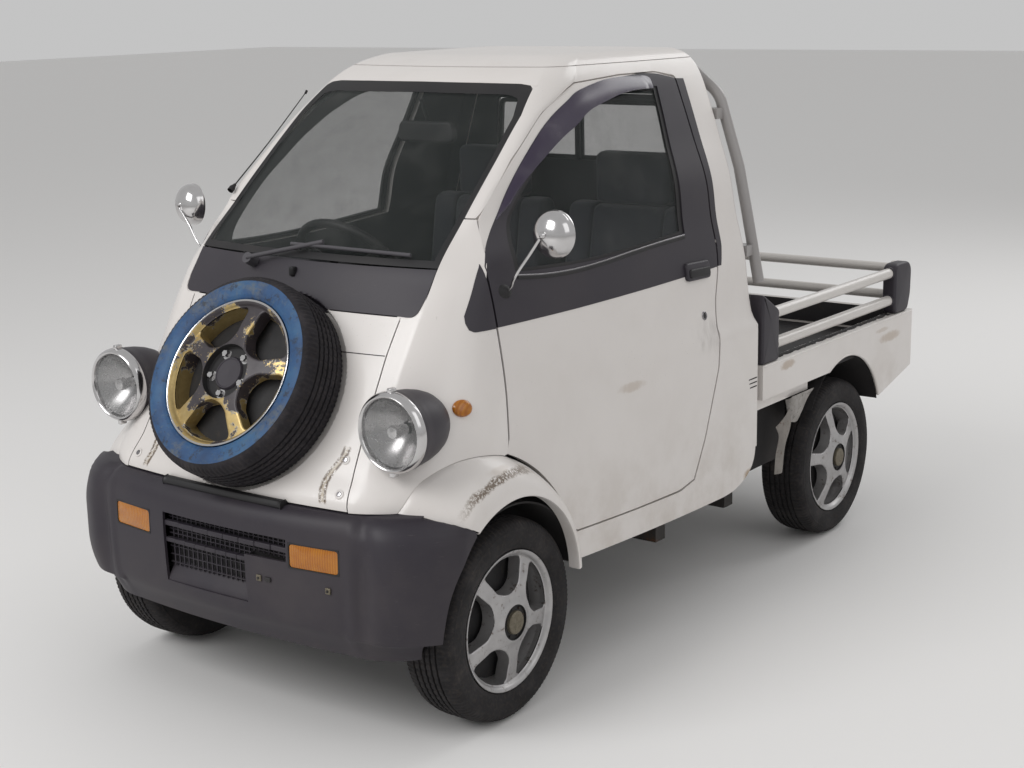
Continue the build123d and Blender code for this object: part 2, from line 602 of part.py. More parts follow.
FLOOR_HALF = BED_IN_X - SEAT_GAP
bed_floor = box(-FLOOR_HALF, FLOOR_HALF, BED_FRONT_Y, BED_BACK_Y, BED_UNDER_Z, BED_FLOOR_Z)
bed_floor += box(-FLOOR_HALF, FLOOR_HALF, BED_FRONT_Y, BED_FRONT_Y + 18, BED_FLOOR_Z, BED_TOP_Z)
FLOOR_RIBS = 8
FLOOR_RIB_PITCH = 112.0
for k in range(FLOOR_RIBS):
    y = BED_FRONT_Y + 110 + k * FLOOR_RIB_PITCH
    bed_floor += box(-HALF_WIDTH + 70, HALF_WIDTH - 70, y, y + 40, BED_FLOOR_Z, BED_FLOOR_Z + 5)

POST_LOW_Z = BED_TOP_Z + SEAT_GAP
BRACKET = ((BED_FRONT_Y + 1, POST_LOW_Z), (BED_FRONT_Y + 1, POST_TOP_Z - 30),
           (BED_FRONT_Y + 12, POST_TOP_Z), (BED_FRONT_Y + 85, POST_TOP_Z - 20),
           (BED_FRONT_Y + 108, POST_TOP_Z - 60), (BED_FRONT_Y + 108, POST_LOW_Z))
POST = ((REAR_POST_Y + 10, POST_LOW_Z), (REAR_POST_Y, RAIL_LOW_Z - 20), (REAR_POST_Y, RAIL_HIGH_Z + 20),
        (REAR_POST_Y + 23, POST_TOP_Z), (REAR_END_Y - 27, POST_TOP_Z - 2), (REAR_END_Y - 7, RAIL_HIGH_Z + 4),
        (REAR_END_Y - 11, RAIL_LOW_Z + 10), (REAR_END_Y - 33, POST_LOW_Z))
POST_X0 = GATE_BLOCK_X
bed_post = [prism_x(outline, POST_X0, HALF_WIDTH - 2) for outline in (BRACKET, POST)]
TUBE_X = 612.0
side_tubes = []
for z in (RAIL_LOW_Z, RAIL_HIGH_Z):
    side_tubes.append(rod((TUBE_X, BED_FRONT_Y + 108 + SEAT_GAP, z), (TUBE_X, REAR_POST_Y - SEAT_GAP, z), RAIL_TUBE_R))

# Tailgate: a low panel with two tubes between end plates
gate = box(-GATE_HALF, GATE_HALF, GATE_FRONT_Y, GATE_BACK_Y, GATE_LOW_Z, BED_TOP_Z)
gate -= box(-GATE_HALF + 40, GATE_HALF - 40, GATE_BACK_Y - 8, REAR_END_Y, GATE_HINGE_Z + 14, BED_TOP_Z - 22)
GATE_PLATE_X = GATE_HALF - 10
GATE_TUBE_Y = GATE_FRONT_Y + 8
for side in (-1, 1):
    x0 = side * GATE_PLATE_X
    x1 = side * GATE_HALF
    gate += box(min(x0, x1), max(x0, x1), GATE_FRONT_Y - 14, GATE_BACK_Y - 2, BED_TOP_Z - 20, RAIL_HIGH_Z + 26)
    pin0 = side * (GATE_HALF - 16)
    gate -= wheel_disc(GATE_HINGE_Y, GATE_HINGE_Z, GATE_PIN_R + PIN_GAP, min(pin0, x1), max(pin0, x1))
for z in (RAIL_LOW_Z, RAIL_HIGH_Z):
    gate += rod((-GATE_PLATE_X, GATE_TUBE_Y, z), (GATE_PLATE_X, GATE_TUBE_Y, z), RAIL_TUBE_R - 2)

# Rear panel under the gate, with lamps
TAIL_LAMP_X0 = 430.0
TAIL_LAMP_X1 = 590.0
TAIL_LAMP_Z0 = TAIL_LOW_Z + 15
TAIL_LAMP_Z1 = BED_UNDER_Z - 14
TAIL_HALF = BED_IN_X - SEAT_GAP
tail_panel = box(-TAIL_HALF, TAIL_HALF, REAR_END_Y - 22, REAR_END_Y - 4, TAIL_LOW_Z + 2, BED_UNDER_Z)
tail_panel -= pair(box(TAIL_LAMP_X0, TAIL_LAMP_X1, REAR_END_Y - 40, REAR_END_Y, TAIL_LAMP_Z0,
                       TAIL_LAMP_Z1))
tail_lamp = box(TAIL_LAMP_X0 + SEAT_GAP, TAIL_LAMP_X1 - SEAT_GAP, REAR_END_Y - 30, REAR_END_Y,
                TAIL_LAMP_Z0 + SEAT_GAP, TAIL_LAMP_Z1 - SEAT_GAP)

# Hoop of tube behind the cab, on tabs from its rear wall
HOOP_Y = CAB_REAR_Y + 52
HOOP_R = 17.0
HOOP_POINTS = ((604, 940), (561, 1150), (532, 1286), (462, 1500), (330, 1606))
hoop_path = [(x, HOOP_Y, z) for x, z in HOOP_POINTS]
hoop_path += [(-x, HOOP_Y, z) for x, z in reversed(HOOP_POINTS)]
hoop_line = FilletPolyline(*hoop_path, radius=90)
hoop = sweep(Plane(origin=hoop_path[0], z_dir=hoop_line % 0) * Circle(HOOP_R), hoop_line)
for x0, x1, z in ((548, 590, 1040), (440, 484, 1445)):
    hoop += pair(box(x0, x1, CAB_REAR_Y + SEAT_GAP, HOOP_Y, z - 16, z + 16))

# Engine under the seats, on feet on the chassis rails
RAIL_TOP_Z = RAIL_Z + RAIL_H
ENGINE_Y0 = -290.0
ENGINE_Y1 = 95.0
engine = box(-180, 200, ENGINE_Y0, ENGINE_Y1, RAIL_TOP_Z, 530)
for y in (ENGINE_Y0 + 60, ENGINE_Y1 - 110):
    engine += box(-RAIL_X - RAIL_W + 5, RAIL_X + RAIL_W - 5, y, y + 50, RAIL_TOP_Z + SEAT_GAP, RAIL_TOP_Z + 16)

# Interior
SEAT_TOP_Z = 560.0
FLOOR_TOP_Z = FLOOR_Z + FLOOR_T
SEAT_BOX_T = 15.0
SEAT_BOX_Y0 = -340.0
SEAT_BOX_Y1 = 125.0
seat_box = box(-500, 500, SEAT_BOX_Y0, SEAT_BOX_Y1, FLOOR_TOP_Z + SEAT_GAP, SEAT_TOP_Z)
seat_box -= box(-500 + SEAT_BOX_T, 500 - SEAT_BOX_T, SEAT_BOX_Y0 + SEAT_BOX_T, SEAT_BOX_Y1 - SEAT_BOX_T,
                FLOOR_Z, SEAT_TOP_Z - SEAT_BOX_T)
SEAT_X = 265.0
SEAT_HALF = 215.0
cushion = box(SEAT_X - SEAT_HALF, SEAT_X + SEAT_HALF, -370, 60, SEAT_TOP_Z + SEAT_GAP, 660)
back_points = ((60, SEAT_TOP_Z + SEAT_GAP), (35, 690), (120, 1180), (205, 1180), (205, 700),
               (130, SEAT_TOP_Z + SEAT_GAP))
seat = cushion + prism_x(back_points, SEAT_X - SEAT_HALF, SEAT_X + SEAT_HALF)
seat = fillet(seat.edges().filter_by(Axis.X).group_by(Axis.Z)[-1], 30)
for x in (-60, 60):
    seat += rod((SEAT_X + x, 165, 1170), (SEAT_X + x, 165, 1230), 6)
seat += box(SEAT_X - 120, SEAT_X + 120, 125, 205, 1215, 1345)
dash = prism_x(((-1010, 1010), (-960, 1060), (-800, 1075), (-745, 1020), (-770, 860), (-850, 800),
                (-1010, 800)), -455, 455) & cab_hollow(SEAT_GAP)
DRIVER_X = -SEAT_X
COLUMN_R = 22.0
COLUMN_TOP = (DRIVER_X, -560, 1010)
COLUMN_LOW = (DRIVER_X, -880, 760)
column = rod(COLUMN_LOW, COLUMN_TOP, COLUMN_R)
dash -= rod(COLUMN_LOW, COLUMN_TOP, COLUMN_R + SEAT_GAP)
column_dir = (Vector(*COLUMN_TOP) - Vector(*COLUMN_LOW)).normalized()
WHEEL_RING_R = 180.0
ring_plane = Plane(origin=Vector(*COLUMN_TOP) + column_dir * 42, z_dir=column_dir)
steering_wheel = ring_plane * Torus(WHEEL_RING_R, 14)
steering_wheel += extrude(ring_plane.offset(-30) * Circle(48), 34)
for turn in (-30, 210, 90):
    spoke = Rot(0, 0, turn) * Pos(WHEEL_RING_R / 2 + 8, 0, -8) * Box(WHEEL_RING_R - 20, 34, 10)
    steering_wheel += ring_plane.location * spoke
steering_wheel += rod(Vector(*COLUMN_TOP) + column_dir * SEAT_GAP, Vector(*COLUMN_TOP) + column_dir * 20, 16)

# Chassis
rail_high_z = RAIL_Z + RAIL_KICK
RAMP_LOW_Y = REAR_AXLE_Y - 405
RAMP_HIGH_Y = REAR_AXLE_Y - 315
rail_low = box(RAIL_X, RAIL_X + RAIL_W, RAIL_FRONT_Y, RAMP_LOW_Y, RAIL_Z, RAIL_TOP_Z)
rail_high = box(RAIL_X, RAIL_X + RAIL_W, RAMP_HIGH_Y, REAR_END_Y - 35, rail_high_z, rail_high_z + RAIL_H)
ramp = prism_x(((RAMP_LOW_Y - 30, RAIL_Z), (RAMP_LOW_Y, RAIL_Z), (RAMP_HIGH_Y + 30, rail_high_z),
                (RAMP_HIGH_Y + 30, rail_high_z + RAIL_H), (RAMP_HIGH_Y, rail_high_z + RAIL_H),
                (RAMP_LOW_Y - 30, RAIL_TOP_Z)), RAIL_X, RAIL_X + RAIL_W)
frame = pair(rail_low + rail_high + ramp)
CROSS_H = 56.0
for y0, z0 in ((RAIL_FRONT_Y + 7, RAIL_Z), (-700, RAIL_Z), (130, RAIL_Z), (430, RAIL_Z), (1040, rail_high_z),
               (REAR_END_Y - 95, rail_high_z)):
    frame += box(-RAIL_X - 5, RAIL_X + 5, y0, y0 + 50, z0 + 6, z0 + 6 + CROSS_H)
for y0, z0 in ((330, RAIL_TOP_Z - 2), (1180, rail_high_z + RAIL_H - 2)):
    frame += pair(box(RAIL_X, RAIL_X + RAIL_W, y0, y0 + 60, z0, BED_UNDER_Z - SEAT_GAP))
for y0 in (-300, 90):
    frame += pair(box(RAIL_X + RAIL_W - 2, 622, y0, y0 + 50, 290, SILL_Z - SEAT_GAP))

# Front suspension arms, knuckles and struts


def on_steer_axis(z):
    """Point of the left steering axis at a height."""
    return (STEER_X - (z - TYRE_R) * STEER_LEAN, FRONT_AXLE_Y, z)


arm_end = on_steer_axis(BALL_SEAT_Z - 19)
# x, z, breadth, depth
ARM_SECTIONS = (
    (RAIL_X + 4, 285, 150, 30),
    (arm_end[0] - 66, arm_end[2] + 6, 60, 18),
    (arm_end[0] + 14, arm_end[2], 34, 16),
)
arm = loft([
    Plane(origin=(x, FRONT_AXLE_Y, z), x_dir=(0, 1, 0), z_dir=(1, 0, 0)) * Rectangle(breadth, depth)
    for x, z, breadth, depth in ARM_SECTIONS
], ruled=True)
arm += rod(on_steer_axis(BALL_SEAT_Z - 28), on_steer_axis(BALL_SEAT_Z), 17)
frame += pair(arm)
knuckle = rod(on_steer_axis(BALL_SEAT_Z + 40), on_steer_axis(STRUT_END_Z), STRUT_R)
knuckle += rod(on_steer_axis(BALL_SEAT_Z + SEAT_GAP), on_steer_axis(BALL_SEAT_Z + 42), 9)
STUB_R = 30.0
STUB_FACE_R = 44.0
knuckle += wheel_disc(FRONT_AXLE_Y, TYRE_R, 78, STEER_X - 4, STEER_X + 26)
hub_x = WHEEL_X + HUB_FACE
knuckle += wheel_disc(FRONT_AXLE_Y, TYRE_R, STUB_R, STEER_X + 20, hub_x - 8)
knuckle += wheel_disc(FRONT_AXLE_Y, TYRE_R, STUB_FACE_R, hub_x - 9, hub_x - SEAT_GAP)

# Floor with the wheel houses and the front bulkhead
FIRE_Y = -1235.0
wheel_house = wheel_disc(FRONT_AXLE_Y, TYRE_R, SWEEP_R - SEAT_GAP, WELL_X - 2, WELL_OUT_X)
wheel_space = wheel_disc(FRONT_AXLE_Y, TYRE_R, SWEEP_R - WELL_T, WELL_X + WELL_T, WELL_OUT_X + 5)
wheel_house -= wheel_space + box(0, 700, -1500, 0, -100, SILL_Z)
wheel_house += rod(on_steer_axis(STRUT_END_Z + SEAT_GAP), on_steer_axis(STRUT_TOP_Z), 40) - rod(
    on_steer_axis(STRUT_END_Z - 200), on_steer_axis(STRUT_END_Z + SEAT_GAP), 60)
floor = box(-620, 620, FRONT_AXLE_Y, CAB_REAR_Y, FLOOR_Z, FLOOR_TOP_Z) - pair(wheel_space)
floor &= cab_hollow(SEAT_GAP)
floor += box(-WELL_X, WELL_X, FIRE_Y, FRONT_AXLE_Y + 2, FLOOR_Z, FLOOR_TOP_Z)
floor += box(-WELL_X, WELL_X, FIRE_Y, FIRE_Y + FLOOR_T, SILL_Z, NOSE_Z + 60)
floor += pair(wheel_house)
floor -= box(-220, 220, ENGINE_Y0 - 15, ENGINE_Y1 + 12, 0, FLOOR_TOP_Z + 1)

# Rear axle and springs
DRUM_R = 100.0
DRUM_X = 448.0
AXLE_R = 32.0
half_axle = wheel_disc(REAR_AXLE_Y, TYRE_R, AXLE_R, 0, DRUM_X + 2)
for radius, x0, x1 in ((DRUM_R, DRUM_X, DRUM_X + 46), (STUB_R, DRUM_X, hub_x - 8),
                       (STUB_FACE_R, hub_x - 9, hub_x - SEAT_GAP)):
    half_axle += wheel_disc(REAR_AXLE_Y, TYRE_R, radius, x0, x1)
SPRING_LOW_Z = TYRE_R + AXLE_R + 6
half_axle += box(RAIL_X - 4, RAIL_X + 52, REAR_AXLE_Y - 32, REAR_AXLE_Y + 32, TYRE_R, SPRING_LOW_Z - SEAT_GAP)
axle = half_axle + mirror(half_axle, about=Plane.YZ)
DIFF_R = 105.0
DIFF_HALF = 100.0
# Shares of the casing's half width and of its radius
DIFF_CURVE = ((-0.85, 0.6), (-0.4, 0.93), (0, 1), (0.4, 0.93), (0.85, 0.6))
diff_points = [(-DIFF_HALF, 0), (-DIFF_HALF, AXLE_R)]
diff_points += [(across * DIFF_HALF, out * DIFF_R) for across, out in DIFF_CURVE]
diff_points += [(DIFF_HALF, AXLE_R), (DIFF_HALF, 0)]
axle += Pos(40, REAR_AXLE_Y, TYRE_R) * turned_x(diff_points)
SPRING_HALF = 275.0
SPRING_RISE = 45.0
SPRING_T = 12.0
# share of the half length, height over the pad
SPRING_CURVE = (
    (-1, SPRING_RISE), (-0.56, 11), (0, 0), (0.56, 11), (1, SPRING_RISE),
    (1, SPRING_RISE + SPRING_T), (0.5, 29), (0, 26), (-0.5, 29), (-1, SPRING_RISE + SPRING_T),
)
leaves = [(REAR_AXLE_Y + share * SPRING_HALF, SPRING_LOW_Z + height) for share, height in SPRING_CURVE]
spring = prism_x(leaves, RAIL_X - 2, RAIL_X + 48)
for side in (-1, 1):
    y = REAR_AXLE_Y + side * (SPRING_HALF - 6)
    spring += box(RAIL_X, RAIL_X + RAIL_W, y - 12, y + 12, SPRING_LOW_Z + SPRING_RISE - 4, rail_high_z - SEAT_GAP)

side_box = box(RAIL_X + RAIL_W + SEAT_GAP, 560, 330, 590, 330, 520)

# Mirror on the door
MIRROR_BASE = (512, -846, 1079)
MIRROR_HEAD = (640, -801, 1229)
mirror_left = rod((MIRROR_BASE[0] - 6, MIRROR_BASE[1], MIRROR_BASE[2]),
                  (MIRROR_BASE[0] + 14, MIRROR_BASE[1], MIRROR_BASE[2]), 26)
MIRROR_R = 72.0
head_plane = Plane(origin=MIRROR_HEAD, z_dir=(0.25, -1, 0.1))
MIRROR_CUT = 15.0
mirror_left += rod((MIRROR_BASE[0] + 8, MIRROR_BASE[1], MIRROR_BASE[2]), MIRROR_HEAD, 7)
half_ball = Sphere(MIRROR_R) & Pos(0, 0, MIRROR_R - MIRROR_CUT) * Box(200, 200, 2 * MIRROR_R)
mirror_left += head_plane.location * half_ball
mirror_left -= CAB_OUTER

# Wiper, parked across the foot of the windscreen
WIPER_PIVOT = (-165, -1030, 1128)
WIPER_BEND = (-165, -1062, 1146)
WIPER_HEEL = (-40, -1022, 1186)
WIPER_ELBOW = (60, -1008, 1196)
WIPER_TIP = (330, -984, 1178)
wiper = rod(WIPER_PIVOT, WIPER_BEND, 15)
wiper += rod(WIPER_BEND, WIPER_ELBOW, 6)
wiper += rod(WIPER_HEEL, WIPER_TIP, 5)
wiper -= CAB_OUTER

# The origin lies under the middle of the outer box, spare wheel included.
front_reach = spare_mid.Y - max(
    x * math.cos(tilt) + r * math.sin(tilt) for x, r in tyre_points(SPARE_RIM_R, TYRE_R)
)
ORIGIN_Y = (front_reach + REAR_END_Y) / 2


def write(name, *shapes):
    """Write one node as parts/NAME.step, moved into the truck's own frame."""
    solids = []
    for shape in shapes:
        solids += [solid.moved(Location((0, -ORIGIN_Y, 0))) for solid in shape.solids()]
    node = solids[0] if len(solids) == 1 else Compound(children=solids)
    node.label = name
    export_step(node, f"parts/{name}.step")


def other(shape):
    """The same piece on the right side."""
    return mirror(shape, about=Plane.YZ)


os.makedirs("parts", exist_ok=True)
for name, shape in {
    "chassis_frame": frame, "floor_pan": floor, "cab_frame": cab_frame, "roof_panel": roof_panel,
    "rear_panel": rear_panel, "nose_panel": nose_panel, "cowl_panel": cowl_panel,
    "front_bumper": bumper, "wiper": wiper, "spare_tyre": spare_tyre, "spare_rim": spare_rim,
    "dashboard": dash, "seat_box": seat_box, "steering_column": column,
    "steering_wheel": steering_wheel, "engine_block": engine, "bed_floor": bed_floor,
    "guard_hoop": hoop, "tailgate": gate, "tail_panel": tail_panel, "rear_axle": axle,
    "side_box": side_box, "windscreen": windscreen, "rear_window": rear_glass,
}.items():
    write(name, shape)
for name, pieces in {
    "front_fenders": [fender_left], "headlamp_shells": [headlamp_shell],
    "headlamp_lenses": [headlamp_lens], "front_indicators": [lamp_skin],
    "bed_sides": [bed_side], "bed_posts": bed_post, "bed_tubes": side_tubes,
    "tail_lamps": [tail_lamp], "leaf_springs": [spring], "seats": [seat],
}.items():
    write(name, *pieces, *[other(piece) for piece in pieces])
for name, shape in {
    "door": door_left, "door_glass": side_glass_left, "mirror": mirror_left, "knuckle": knuckle,
}.items():
    write(f"{name}_left", shape)
    write(f"{name}_right", other(shape))
for place, y in (("front", FRONT_AXLE_Y), ("rear", REAR_AXLE_Y)):
    for name, shape in (("rim", RIM), ("tyre", TYRE)):
        wheel = Pos(WHEEL_X, y, TYRE_R) * shape
        write(f"{name}_{place}_left", wheel)
        write(f"{name}_{place}_right", other(wheel))
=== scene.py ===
"""Small two-seat pickup truck with a rounded cab, dressed round its packed CAD frame.

Tables are in millimetres, with the truck facing -Y and its left side at +X.
"""

import json
import math

import bmesh
import bpy
import numpy as np
from mathutils import Matrix, Vector


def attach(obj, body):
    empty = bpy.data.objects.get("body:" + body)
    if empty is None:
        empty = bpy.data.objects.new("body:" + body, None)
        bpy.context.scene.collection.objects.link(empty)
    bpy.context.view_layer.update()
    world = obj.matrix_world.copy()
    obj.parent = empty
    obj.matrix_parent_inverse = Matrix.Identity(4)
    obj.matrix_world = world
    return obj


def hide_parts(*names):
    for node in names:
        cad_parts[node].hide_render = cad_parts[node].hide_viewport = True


bl_info = {
    "name": "Rounded Pickup Truck",
    "version": (1, 0, 0),
    "blender": (4, 5, 0),
    "location": "3D View > Sidebar > Truck",
    "description": "Builds the bodywork, wheels, lamps and cabin of a small rounded pickup truck",
    "category": "Object",
}

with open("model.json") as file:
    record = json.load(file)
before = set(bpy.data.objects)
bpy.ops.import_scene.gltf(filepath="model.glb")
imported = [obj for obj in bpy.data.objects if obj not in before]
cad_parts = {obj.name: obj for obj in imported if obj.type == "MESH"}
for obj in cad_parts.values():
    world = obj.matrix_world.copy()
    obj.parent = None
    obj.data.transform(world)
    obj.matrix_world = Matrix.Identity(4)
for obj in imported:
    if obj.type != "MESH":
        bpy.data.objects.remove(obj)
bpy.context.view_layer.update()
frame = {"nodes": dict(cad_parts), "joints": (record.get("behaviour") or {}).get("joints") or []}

MM = 0.001
JOINTS = {joint["name"]: joint for joint in frame["joints"]}
FRONT_AXLE_Y = -965.0
REAR_AXLE_Y = 875.0
# The tables keep the source's own lengths, so this moves them to the frame's Y.
SHIFT_Y = JOINTS["wheel_rear_left_spin"]["pos_m"][1] / MM - REAR_AXLE_Y
AXLE_Z = JOINTS["wheel_rear_left_spin"]["pos_m"][2] / MM
WHEEL_X = JOINTS["wheel_rear_left_spin"]["pos_m"][0] / MM
CAB_HEART = (0.0, -420.0, 900.0)


# ---------------------------------------------------------------- curves


def eased(x, xs, ys):
    """Monotone cubic through the columns ys at the places xs, read at x."""
    h = np.diff(xs)[:, None]
    d = np.diff(ys, axis=0) / h
    m = np.zeros_like(ys)
    w1, w2 = 2 * h[1:] + h[:-1], h[1:] + 2 * h[:-1]
    with np.errstate(all="ignore"):
        m[1:-1] = np.where(d[1:] * d[:-1] > 0, (w1 + w2) / (w1 / d[:-1] + w2 / d[1:]), 0)
    m[0], m[-1] = d[0], d[-1]
    return hermite(x, xs, ys, m)


def hermite(x, xs, ys, m):
    """Cubic with values ys and slopes m at the places xs, read at x."""
    k = np.clip(np.searchsorted(xs, x, side="right") - 1, 0, len(xs) - 2)
    step = (xs[k + 1] - xs[k])[:, None]
    t = (x - xs[k])[:, None] / step
    return (
        (1 + 2 * t) * (1 - t) ** 2 * ys[k]
        + t * (1 - t) ** 2 * step * m[k]
        + t * t * (3 - 2 * t) * ys[k + 1]
        + t * t * (t - 1) * step * m[k + 1]
    )


def joined(*axes):
    """Points from their coordinates, each a number or an array of a matching shape."""
    return np.stack(np.broadcast_arrays(*axes), -1)


def lengths(p):
    """Length of the line from its start to each of its points."""
    return np.concatenate([[0], np.cumsum(np.linalg.norm(np.diff(p, axis=0), axis=1))])


def read(x, table):
    """Second column of a table at places x of its first, on straight runs."""
    return np.interp(x, *np.array(table, float).T)


def flowing(points, count):
    """Smooth curve through points, read at even steps of the length of its runs."""
    p = np.array(points, float)
    s = lengths(p)
    return hermite(np.linspace(0, s[-1], count), s, p, np.gradient(p, s, axis=0))


def along(points, count):
    """Points at even steps of length on the straight runs between points."""
    p = np.array(points, float)
    s = lengths(p)
    t = np.linspace(0, s[-1], count)
    return joined(*(np.interp(t, s, column) for column in p.T))


def rounded(points, radius, closed=True, steps=5):
    """Outline with each corner cut back by a radius and bridged by a parabola."""
    p = [np.array(point, float) for point in points]
    out = []
    for i, corner in enumerate(p):
        if not closed and i in (0, len(p) - 1):
            out.append(corner)
            continue
        before, after = p[i - 1] - corner, p[(i + 1) % len(p)] - corner
        a = corner + before * min(0.45, radius / np.linalg.norm(before))
        b = corner + after * min(0.45, radius / np.linalg.norm(after))
        for t in np.linspace(0, 1, steps):
            out.append((1 - t) ** 2 * a + 2 * t * (1 - t) * corner + t * t * b)
    return np.array(out)


def drawn_in(loop, amount):
    """Closed outline moved inwards by an amount, along the mean of its runs' normals."""
    p = np.array(loop, float)
    run = np.roll(p, -1, 0) - np.roll(p, 1, 0)
    n = joined(-run[:, 1], run[:, 0])
    n /= np.linalg.norm(n, axis=1)[:, None] + 1e-9
    area = np.sum(p[:, 0] * np.roll(p[:, 1], -1) - p[:, 1] * np.roll(p[:, 0], -1))
    return p + n * amount * (1 if area > 0 else -1)


def arc(a, b, c, t):
    """Arcs through three points each, as complex numbers, read at shares t."""
    w = (c - a) / (b - a)
    w = np.where(abs(w.imag) < 1e-6, w + 1e-6j, w)
    o = a + (b - a) * (w - abs(w) ** 2) / (2j * w.imag)
    turn = np.angle((b - o) / (a - o)) + np.angle((c - o) / (b - o))
    return o[:, None] + (a - o)[:, None] * np.exp(1j * turn[:, None] * t)


# ---------------------------------------------------------------- skins


# Points on the front's arc and on the cheek's, and on the side of a body that is open behind it
ARC_STEPS, SIDE_STEPS = 30, 80


class Skin:
    """Half of a body whose level outlines are known, with places (along, height) on it.

    Each level gives the points of an arc over the front, an arc round the cheek and
    an arc along the side. Between levels every point moves on a monotone cubic. A body
    with a square end has straight sides back to that Y, and no rear corner.
    """

    def __init__(self, levels, square):
        self.levels = np.array(levels, float)
        self.square = square

    def outline(self, z):
        """Level outlines at heights z, from the centre of the front round to the back."""
        v = eased(np.atleast_1d(np.asarray(z, float)), self.levels[:, 0], self.levels[:, 1:]).T
        edge, cheek, door = v[1] + 1j * v[2], v[3] + 1j * v[4], v[5] + 1j * v[6]
        t = np.linspace(0, 1, ARC_STEPS + 1)[None, 1:]
        parts = [arc(-edge.conjugate(), v[0] * 1j, edge, np.linspace(0.5, 1, ARC_STEPS)[None])]
        parts.append(arc(edge, cheek, door, t))
        if self.square:
            back = door.real + 1j * self.square
            parts.append(door[:, None] + (back - door)[:, None] * t)
        else:
            waist, rear = v[7] + 1j * v[8], (v[9] + 1j * v[10])[:, None]
            side = arc(door, waist, rear[:, 0], np.linspace(0, 0.981, SIDE_STEPS + 1)[None, 1:])
            q = np.linspace(0, 1, 9)[None, 1:]
            turned_in = rear - CORNER_R
            parts += [side, (1 - q) ** 2 * side[:, -1:] + 2 * q * (1 - q) * rear + q * q * turned_in]
            parts.append(turned_in.real * (1 - np.linspace(0, 1, 17)[None, 1:]) + 1j * rear.imag)
        p = np.concatenate(parts, 1)
        return joined(p.real, p.imag)

    def place(self, points):
        """Places of outline points: ("x", x, z) on the front, ("y", y, z) on the side, ("s", place, z) as given."""
        z = np.array([p[2] for p in points], float)
        xy = self.outline(z)
        out = np.empty((len(points), 2))
        out[:, 1] = z
        spans = {"x": (0, 2 * ARC_STEPS, 0), "y": (ARC_STEPS - 1, self.last_side, 1)}
        for i, (kind, value, _) in enumerate(points):
            out[i, 0] = value
            if kind in spans:
                lo, hi, column = spans[kind]
                out[i, 0] = np.interp(value, np.maximum.accumulate(xy[i, lo:hi, column]), np.arange(lo, hi))
        return out

    @property
    def last_side(self):
        """Place where the side ends."""
        return 2 * ARC_STEPS + (ARC_STEPS if self.square else SIDE_STEPS)

    def lift(self, places, out=0.0):
        """Points in space of an array of places, moved outwards along the level's normal."""
        flat = np.asarray(places, float).reshape(-1, 2)
        xy = self.outline(flat[:, 1])
        s = np.clip(flat[:, 0], 0, xy.shape[1] - 1.001)
        i = s.astype(int)
        row = np.arange(len(flat))
        f = (s - i)[:, None]
        a, b = xy[row, i], xy[row, i + 1]
        p = a * (1 - f) + b * f
        if np.any(out):
            run = xy[row, np.minimum(i + 2, xy.shape[1] - 1)] - xy[row, np.maximum(i - 1, 0)]
            n = joined(run[:, 1], -run[:, 0])
            p = p + n / (np.linalg.norm(n, axis=1)[:, None] + 1e-9) * np.broadcast_to(out, s.shape)[:, None]
        return np.concatenate([p, flat[:, 1:]], 1).reshape(np.shape(places)[:-1] + (3,))

    def even(self, places, count):
        """A line of places read again at even steps of its length in space."""
        s = lengths(self.lift(places))
        t = np.linspace(0, s[-1], count)
        return joined(*(np.interp(t, s, column) for column in places.T))

    def line(self, kind, points):
        """Close places along outline points, given as x or y, and z."""
        return self.place([(kind, a, z) for a, z in along(points, 120)])

    def edge(self, kind, points, count):
        """Edge through outline points, as places at even steps of length."""
        return self.even(self.line(kind, points), count)

    def patch(self, kind, sides, across, up):
        """Grid of places inside a low, a high, a first and a last side."""
        return coons(*(self.edge(kind, side, n) for side, n in zip(sides, (across, across, up, up))))


def coons(low, high, first, last):
    """Grid of places inside four edges: the two ruled grids less the corners' own."""
    u = np.linspace(0, 1, len(low))[None, :, None]
    v = np.linspace(0, 1, len(first))[:, None, None]
    corners = (
        (1 - u) * (1 - v) * low[0] + u * (1 - v) * low[-1]
        + (1 - u) * v * high[0] + u * v * high[-1]
    )
    return (
        (1 - v) * low[None] + v * high[None]
        + (1 - u) * first[:, None] + u * last[:, None] - corners
    )


def between(inner, outer, rows):
    """Grid from one line of places to another, in even shares."""
    v = np.linspace(0, 1, rows)[:, None, None]
    return (1 - v) * inner[None] + v * outer[None]


CORNER_R = 22.0
SILL_Z = 334.0
# Level outlines: z, y_mid, x_edge, y_edge, x_cheek, y_cheek, x_door, y_door, x_waist, y_waist, x_rear, y_rear
CAB_LEVELS = (
    (334, -1345, 400, -1322, 505, -1245, 560, -900, 625, -300, 640, 270),
    (610, -1343, 398, -1318, 503, -1250, 560, -900, 625, -300, 640, 270),
    (690, -1296, 400, -1269, 503, -1200, 560, -900, 625, -300, 640, 270),
    (820, -1219, 405, -1191, 500, -1120, 556, -900, 620, -300, 640, 270),
    (855, -1198, 406, -1170, 497, -1100, 553, -900, 612, -300, 618, 270),
    (1039, -1088, 414, -1060, 485, -1000, 523, -900, 581, -300, 590, 270),
    (1110, -1052, 413, -1008, 475, -960, 507, -898, 565, -300, 572, 270),
    (1150, -1027, 411, -979, 463, -930, 497, -890, 555, -300, 561, 270),
    (1264, -897, 402, -853, 424, -852, 441, -840, 530, -300, 539, 270),
    (1394, -745, 394, -706, 414, -703, 430, -682, 485, -200, 497, 270),
    (1497, -622, 384, -584, 399, -574, 412, -527, 447, -150, 461, 270),
    (1571, -528, 368, -483, 385, -455, 396, -350, 422, -50, 430, 268),
    (1615, -440, 338, -400, 358, -375, 368, -300, 392, -40, 400, 258),
    (1640, -340, 290, -310, 312, -288, 326, -230, 348, -20, 355, 232),
    (1650, -250, 220, -232, 240, -215, 256, -180, 276, 0, 280, 190),
)
